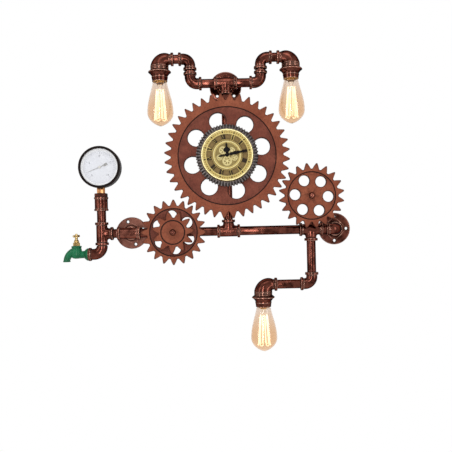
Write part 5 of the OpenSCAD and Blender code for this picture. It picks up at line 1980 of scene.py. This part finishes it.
@dataclass
class Tap(Assembly):
    """The green tap on the street elbow, with its brass gland and T-handle."""

    x: float = -374.0
    z: float = Pipework.tap_z
    chamber_top: float = 21.5
    spout_x: float = 24.5
    spout_rise: float = 7.0
    nut_r: float = 8.55
    bar_z: float = 45.5
    bar_half: float = 18.0
    bar_r: float = 2.0
    bar_points: int = 81
    bar_turn: float = 86.0
    ball_r: float = 3.0
    ball_l: float = 2.95
    ball_end: float = 2.9

    @property
    def at(self) -> Array:
        """Middle of the tap's chamber."""
        return spot(self.x, self.z)

    def valve(self) -> None:
        """Build the green body: a swelling chamber, a two-ridged inlet and a spout round a quarter bend."""
        chamber = [
            (0.0, -10.0), (5.0, -9.8), (10.0, -8.4), (13.4, -4.5), (14.4, 0.0), (14.0, 4.5), (13.0, 9.0),
            (12.0, 13.5), (11.4, 16.4), (12.0, 17.4), (12.5, 18.4), (12.5, 20.6), (11.7, 21.5), (4.0, 21.5),
            (4.0, 10.0), (0.0, 10.0),
        ]
        inlet = [
            (0.0, 2.0), (9.8, 2.0), (9.2, 10.0), (9.0, 17.0), (9.6, 20.0), (12.4, 22.4), (13.0, 23.2),
            (13.0, 24.0), (12.2, 24.8), (14.4, 25.2), (15.2, 26.2), (15.2, 28.8), (14.4, 29.8),
            (10.9, 29.9), (10.9, 38.8), (5.5, 38.8), (5.5, 2.5), (0.0, 2.5),
        ]
        shape = Sculpt()
        for line, soft, way in ((chamber, 1.6, Way.UP), (inlet, 0.7, Way.RIGHT)):
            shape.turned(fine(rounded(line, soft, 5, closed=False), 1.5, False), self.at, way)
        corner = spot(self.x - self.spout_x, self.z + self.spout_rise)
        bend = Bend(corner, Way.RIGHT, Way.DOWN, self.spout_x, self.spout_x, self.spout_x - 1.0)
        end = bend.length
        spout = [
            (0.0, 12.0), (8.0, 10.8), (16.0, 9.5), (24.0, 8.6), (end - 5.0, 8.1), (end - 2.6, 8.4),
            (end - 2.0, 9.0), (end, 9.0), (end, 5.8), (end - 2.0, 5.5), (0.0, 5.5),
        ]
        shape.grid(bend.carry(fine(rounded(spout, 0.7), 1.5)), rows=True)
        self.piece("tap_body_cast", shape, GREEN, "tap_body")

    def gland(self) -> None:
        """Build the brass gland: a hexagon nut with a rounded cap turned on top of it."""
        at = spot(self.x, self.z + self.chamber_top)
        cap = [(3.6, 7.0), (6.0, 7.0), (6.0, 11.5), (5.0, 14.2), (4.4, 15.0), (3.6, 15.0)]
        shape = Sculpt()
        shape.slab(polar(self.nut_r, angles(6, np.pi / 6)), 0.05, 8.0, at, Way.UP, 0.7)
        shape.turned(rounded(cap, 0.8), at, Way.UP, COARSE)
        self.piece("tap_gland_nut", shape, BRASS, "tap_gland")

    def handle(self) -> None:
        """Build the handle: a spindle with a domed head and a cross bar with a ball at each end."""
        spindle = [(0.0, -4.6), (3.5, -4.6), (3.5, 40.0), (3.4, 47.6), (3.0, 50.4), (1.8, 51.4)]
        shape = Sculpt()
        spindle = rounded(spindle + [(0.0, 51.5)], 0.6, 4, closed=False)
        shape.turned(spindle, self.at, Way.UP, PIN)
        run = np.linspace(-1.0, 1.0, self.bar_points)
        along = (self.bar_half + self.ball_end) * np.sin(run * QUARTER)
        out = np.abs(along)
        past = np.clip(1.0 - ((out - self.bar_half) / self.ball_l) ** 2, 0.0, None)
        ball = np.where(out > self.bar_half - self.ball_l, np.sqrt(past) * self.ball_r, 0.0)
        radius = np.maximum(np.where(out < self.bar_half, self.bar_r, 0.0), ball)
        ray = np.append(polar(1.0, np.radians(self.bar_turn)), 0.0)
        path = self.at + self.bar_z * Way.UP.along + along[:, None] * ray
        # Painted shade: the bar darkens towards its back end, nearer the wall.
        dark = np.clip((along - 2.0) / 6.0, 0.0, 0.85)
        upright = np.broadcast_to(Way.UP.along, path.shape)
        shape.wire(path, upright, np.maximum(radius, 0.05), 20, dark)
        self.piece("tap_handle_bar", shape, BRASS, "tap_handle", body=Body.TAP_HANDLE)

    def build(self) -> None:
        """Build the tap."""
        self.valve()
        self.gland()
        self.handle()


INNER_NODES: dict[str, Finish] = {
    "lampholder_cores": CERAMIC, "screw_shells": BRASS, "centre_contacts": BRASS, "bulb_caps": BRASS,
    "bulb_stems": STEM_GLASS, "big_gear_bush": STEEL, "left_gear_sleeve": RUST_WEB,
    "right_gear_bush": STEEL, "bolt_spacers": STEEL, "bolt_nuts": STEEL, "gear_bracket": BRONZE,
    "fixing_screws": BRONZE, "clock_movement": MOVEMENT, "gauge_works": BRASS,
}


@dataclass(frozen=True)
class Softbox:
    """A rectangular lamp: its place and size in metres and its power in watts."""

    name: str
    at: Triple
    wide: float
    tall: float
    power: float

    def hang(self, aim: Triple) -> None:
        """Hang it so that it isn't seen through glass nor, if it is behind the object, in gloss.

        Args:
            aim: Point that it faces.
        """
        data = bpy.data.lights.new(self.name, "AREA")
        data.shape = "RECTANGLE"
        data.size = self.wide
        data.size_y = self.tall
        data.energy = self.power
        lamp = stand(self.name, data)
        lamp.visible_transmission = False
        lamp.visible_glossy = self.at[1] < 0.0
        lamp.location = self.at
        lamp.rotation_euler = (Vector(aim) - Vector(self.at)).to_track_quat("-Z", "Y").to_euler()


@dataclass
class Studio:
    """Camera, soft lights, white surroundings and the pale floor. Lengths in metres."""

    camera_at: Triple = (-0.0063, -1.45, -0.3505)
    lens: float = 45.44
    roll: float = 1.25
    aim: Triple = (-0.05, 0.0, -0.29)
    softboxes: tuple[Softbox, ...] = (
        Softbox("front_softbox", (-0.2, -1.6, -0.29), 0.13, 1.5, 12.0),
        Softbox("left_softbox", (-1.4, -1.05, -0.19), 0.2, 1.5, 6.0),
        Softbox("left_back_softbox", (-1.4, 1.05, 0.11), 0.6, 1.5, 8.0),
        Softbox("right_softbox", (1.3, -1.05, -0.19), 0.2, 1.5, 6.0),
        Softbox("right_back_softbox", (1.3, 1.05, 0.11), 0.6, 1.5, 8.0),
        Softbox("top_softbox", (-0.05, -0.9, 1.1), 0.9, 0.5, 4.5),
        Softbox("top_back_softbox", (-0.05, 0.9, 1.1), 0.9, 0.5, 8.0),
    )
    fill: float = 0.22
    floor_z: float = -1.5
    floor_half: float = 1.0
    floor_points: int = 9

    def camera(self) -> None:
        """Set the camera square to the wall, turned a little about its own axis."""
        data = bpy.data.cameras.new("camera")
        data.lens = self.lens
        camera = stand("camera", data)
        camera.location = self.camera_at
        camera.rotation_euler = (QUARTER, np.radians(self.roll), 0.0)
        bpy.context.scene.camera = camera

    def surroundings(self) -> None:
        """Make the world white where it is seen and a soft fill elsewhere."""
        world = bpy.data.worlds.new("white_room")
        world.use_nodes = True
        bpy.context.scene.world = world
        tree = Tree(world.node_tree)
        fill, white = (
            tree.add("ShaderNodeBackground", {"Color": (1.0, 1.0, 1.0), "Strength": strength}).outputs[0]
            for strength in (self.fill, 1.0)
        )
        blend = tree.add("ShaderNodeMixShader", {0: tree.seen(), 1: fill, 2: white})
        tree.add("ShaderNodeOutputWorld", {"Surface": blend.outputs[0]})

    def floor(self) -> None:
        """Lay the floor: a flat grid below the object."""
        line = np.linspace(-self.floor_half, self.floor_half, self.floor_points) / MM
        x, y = np.meshgrid(line, line, indexing="ij")
        shape = Sculpt()
        shape.grid(np.stack([x, y, np.full_like(x, self.floor_z / MM)], -1), columns=False)
        mesh = shape.mesh("studio_floor")
        dress(mesh, FLOOR_PAINT)
        stand("studio_floor", mesh)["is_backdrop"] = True

    def build(self) -> None:
        """Set up the studio."""
        bpy.context.scene.view_settings.view_transform = "Standard"
        self.camera()
        for softbox in self.softboxes:
            softbox.hang(self.aim)
        self.surroundings()
        self.floor()


def corners(box: tuple) -> list[list[float]]:
    """A box's two corners as plain lists of numbers."""
    return [[float(value) for value in corner] for corner in box]


def main() -> None:
    """Load the frame, build every sub-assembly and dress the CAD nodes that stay."""
    logging.basicConfig(level=logging.INFO, format="%(name)s %(message)s")
    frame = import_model()
    cad_box = corners(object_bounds())
    Studio().build()
    replaced: set[str] = set()
    for kind in (Pipework, Lamps, Gears, Clock, Gauge, Tap):
        kind(replaced).build()
    for node, finish in INNER_NODES.items():
        dress(frame["nodes"][node].data, finish)
        LOG.info("%s: CAD node, %s", node, finish.name)
    bare = sorted(set(frame["nodes"]) - replaced - set(INNER_NODES))
    LOG.info("nodes without a finish: %s", bare)
    {"cad": cad_box, "visual": corners(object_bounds())}


if __name__ == "__main__":
    main()
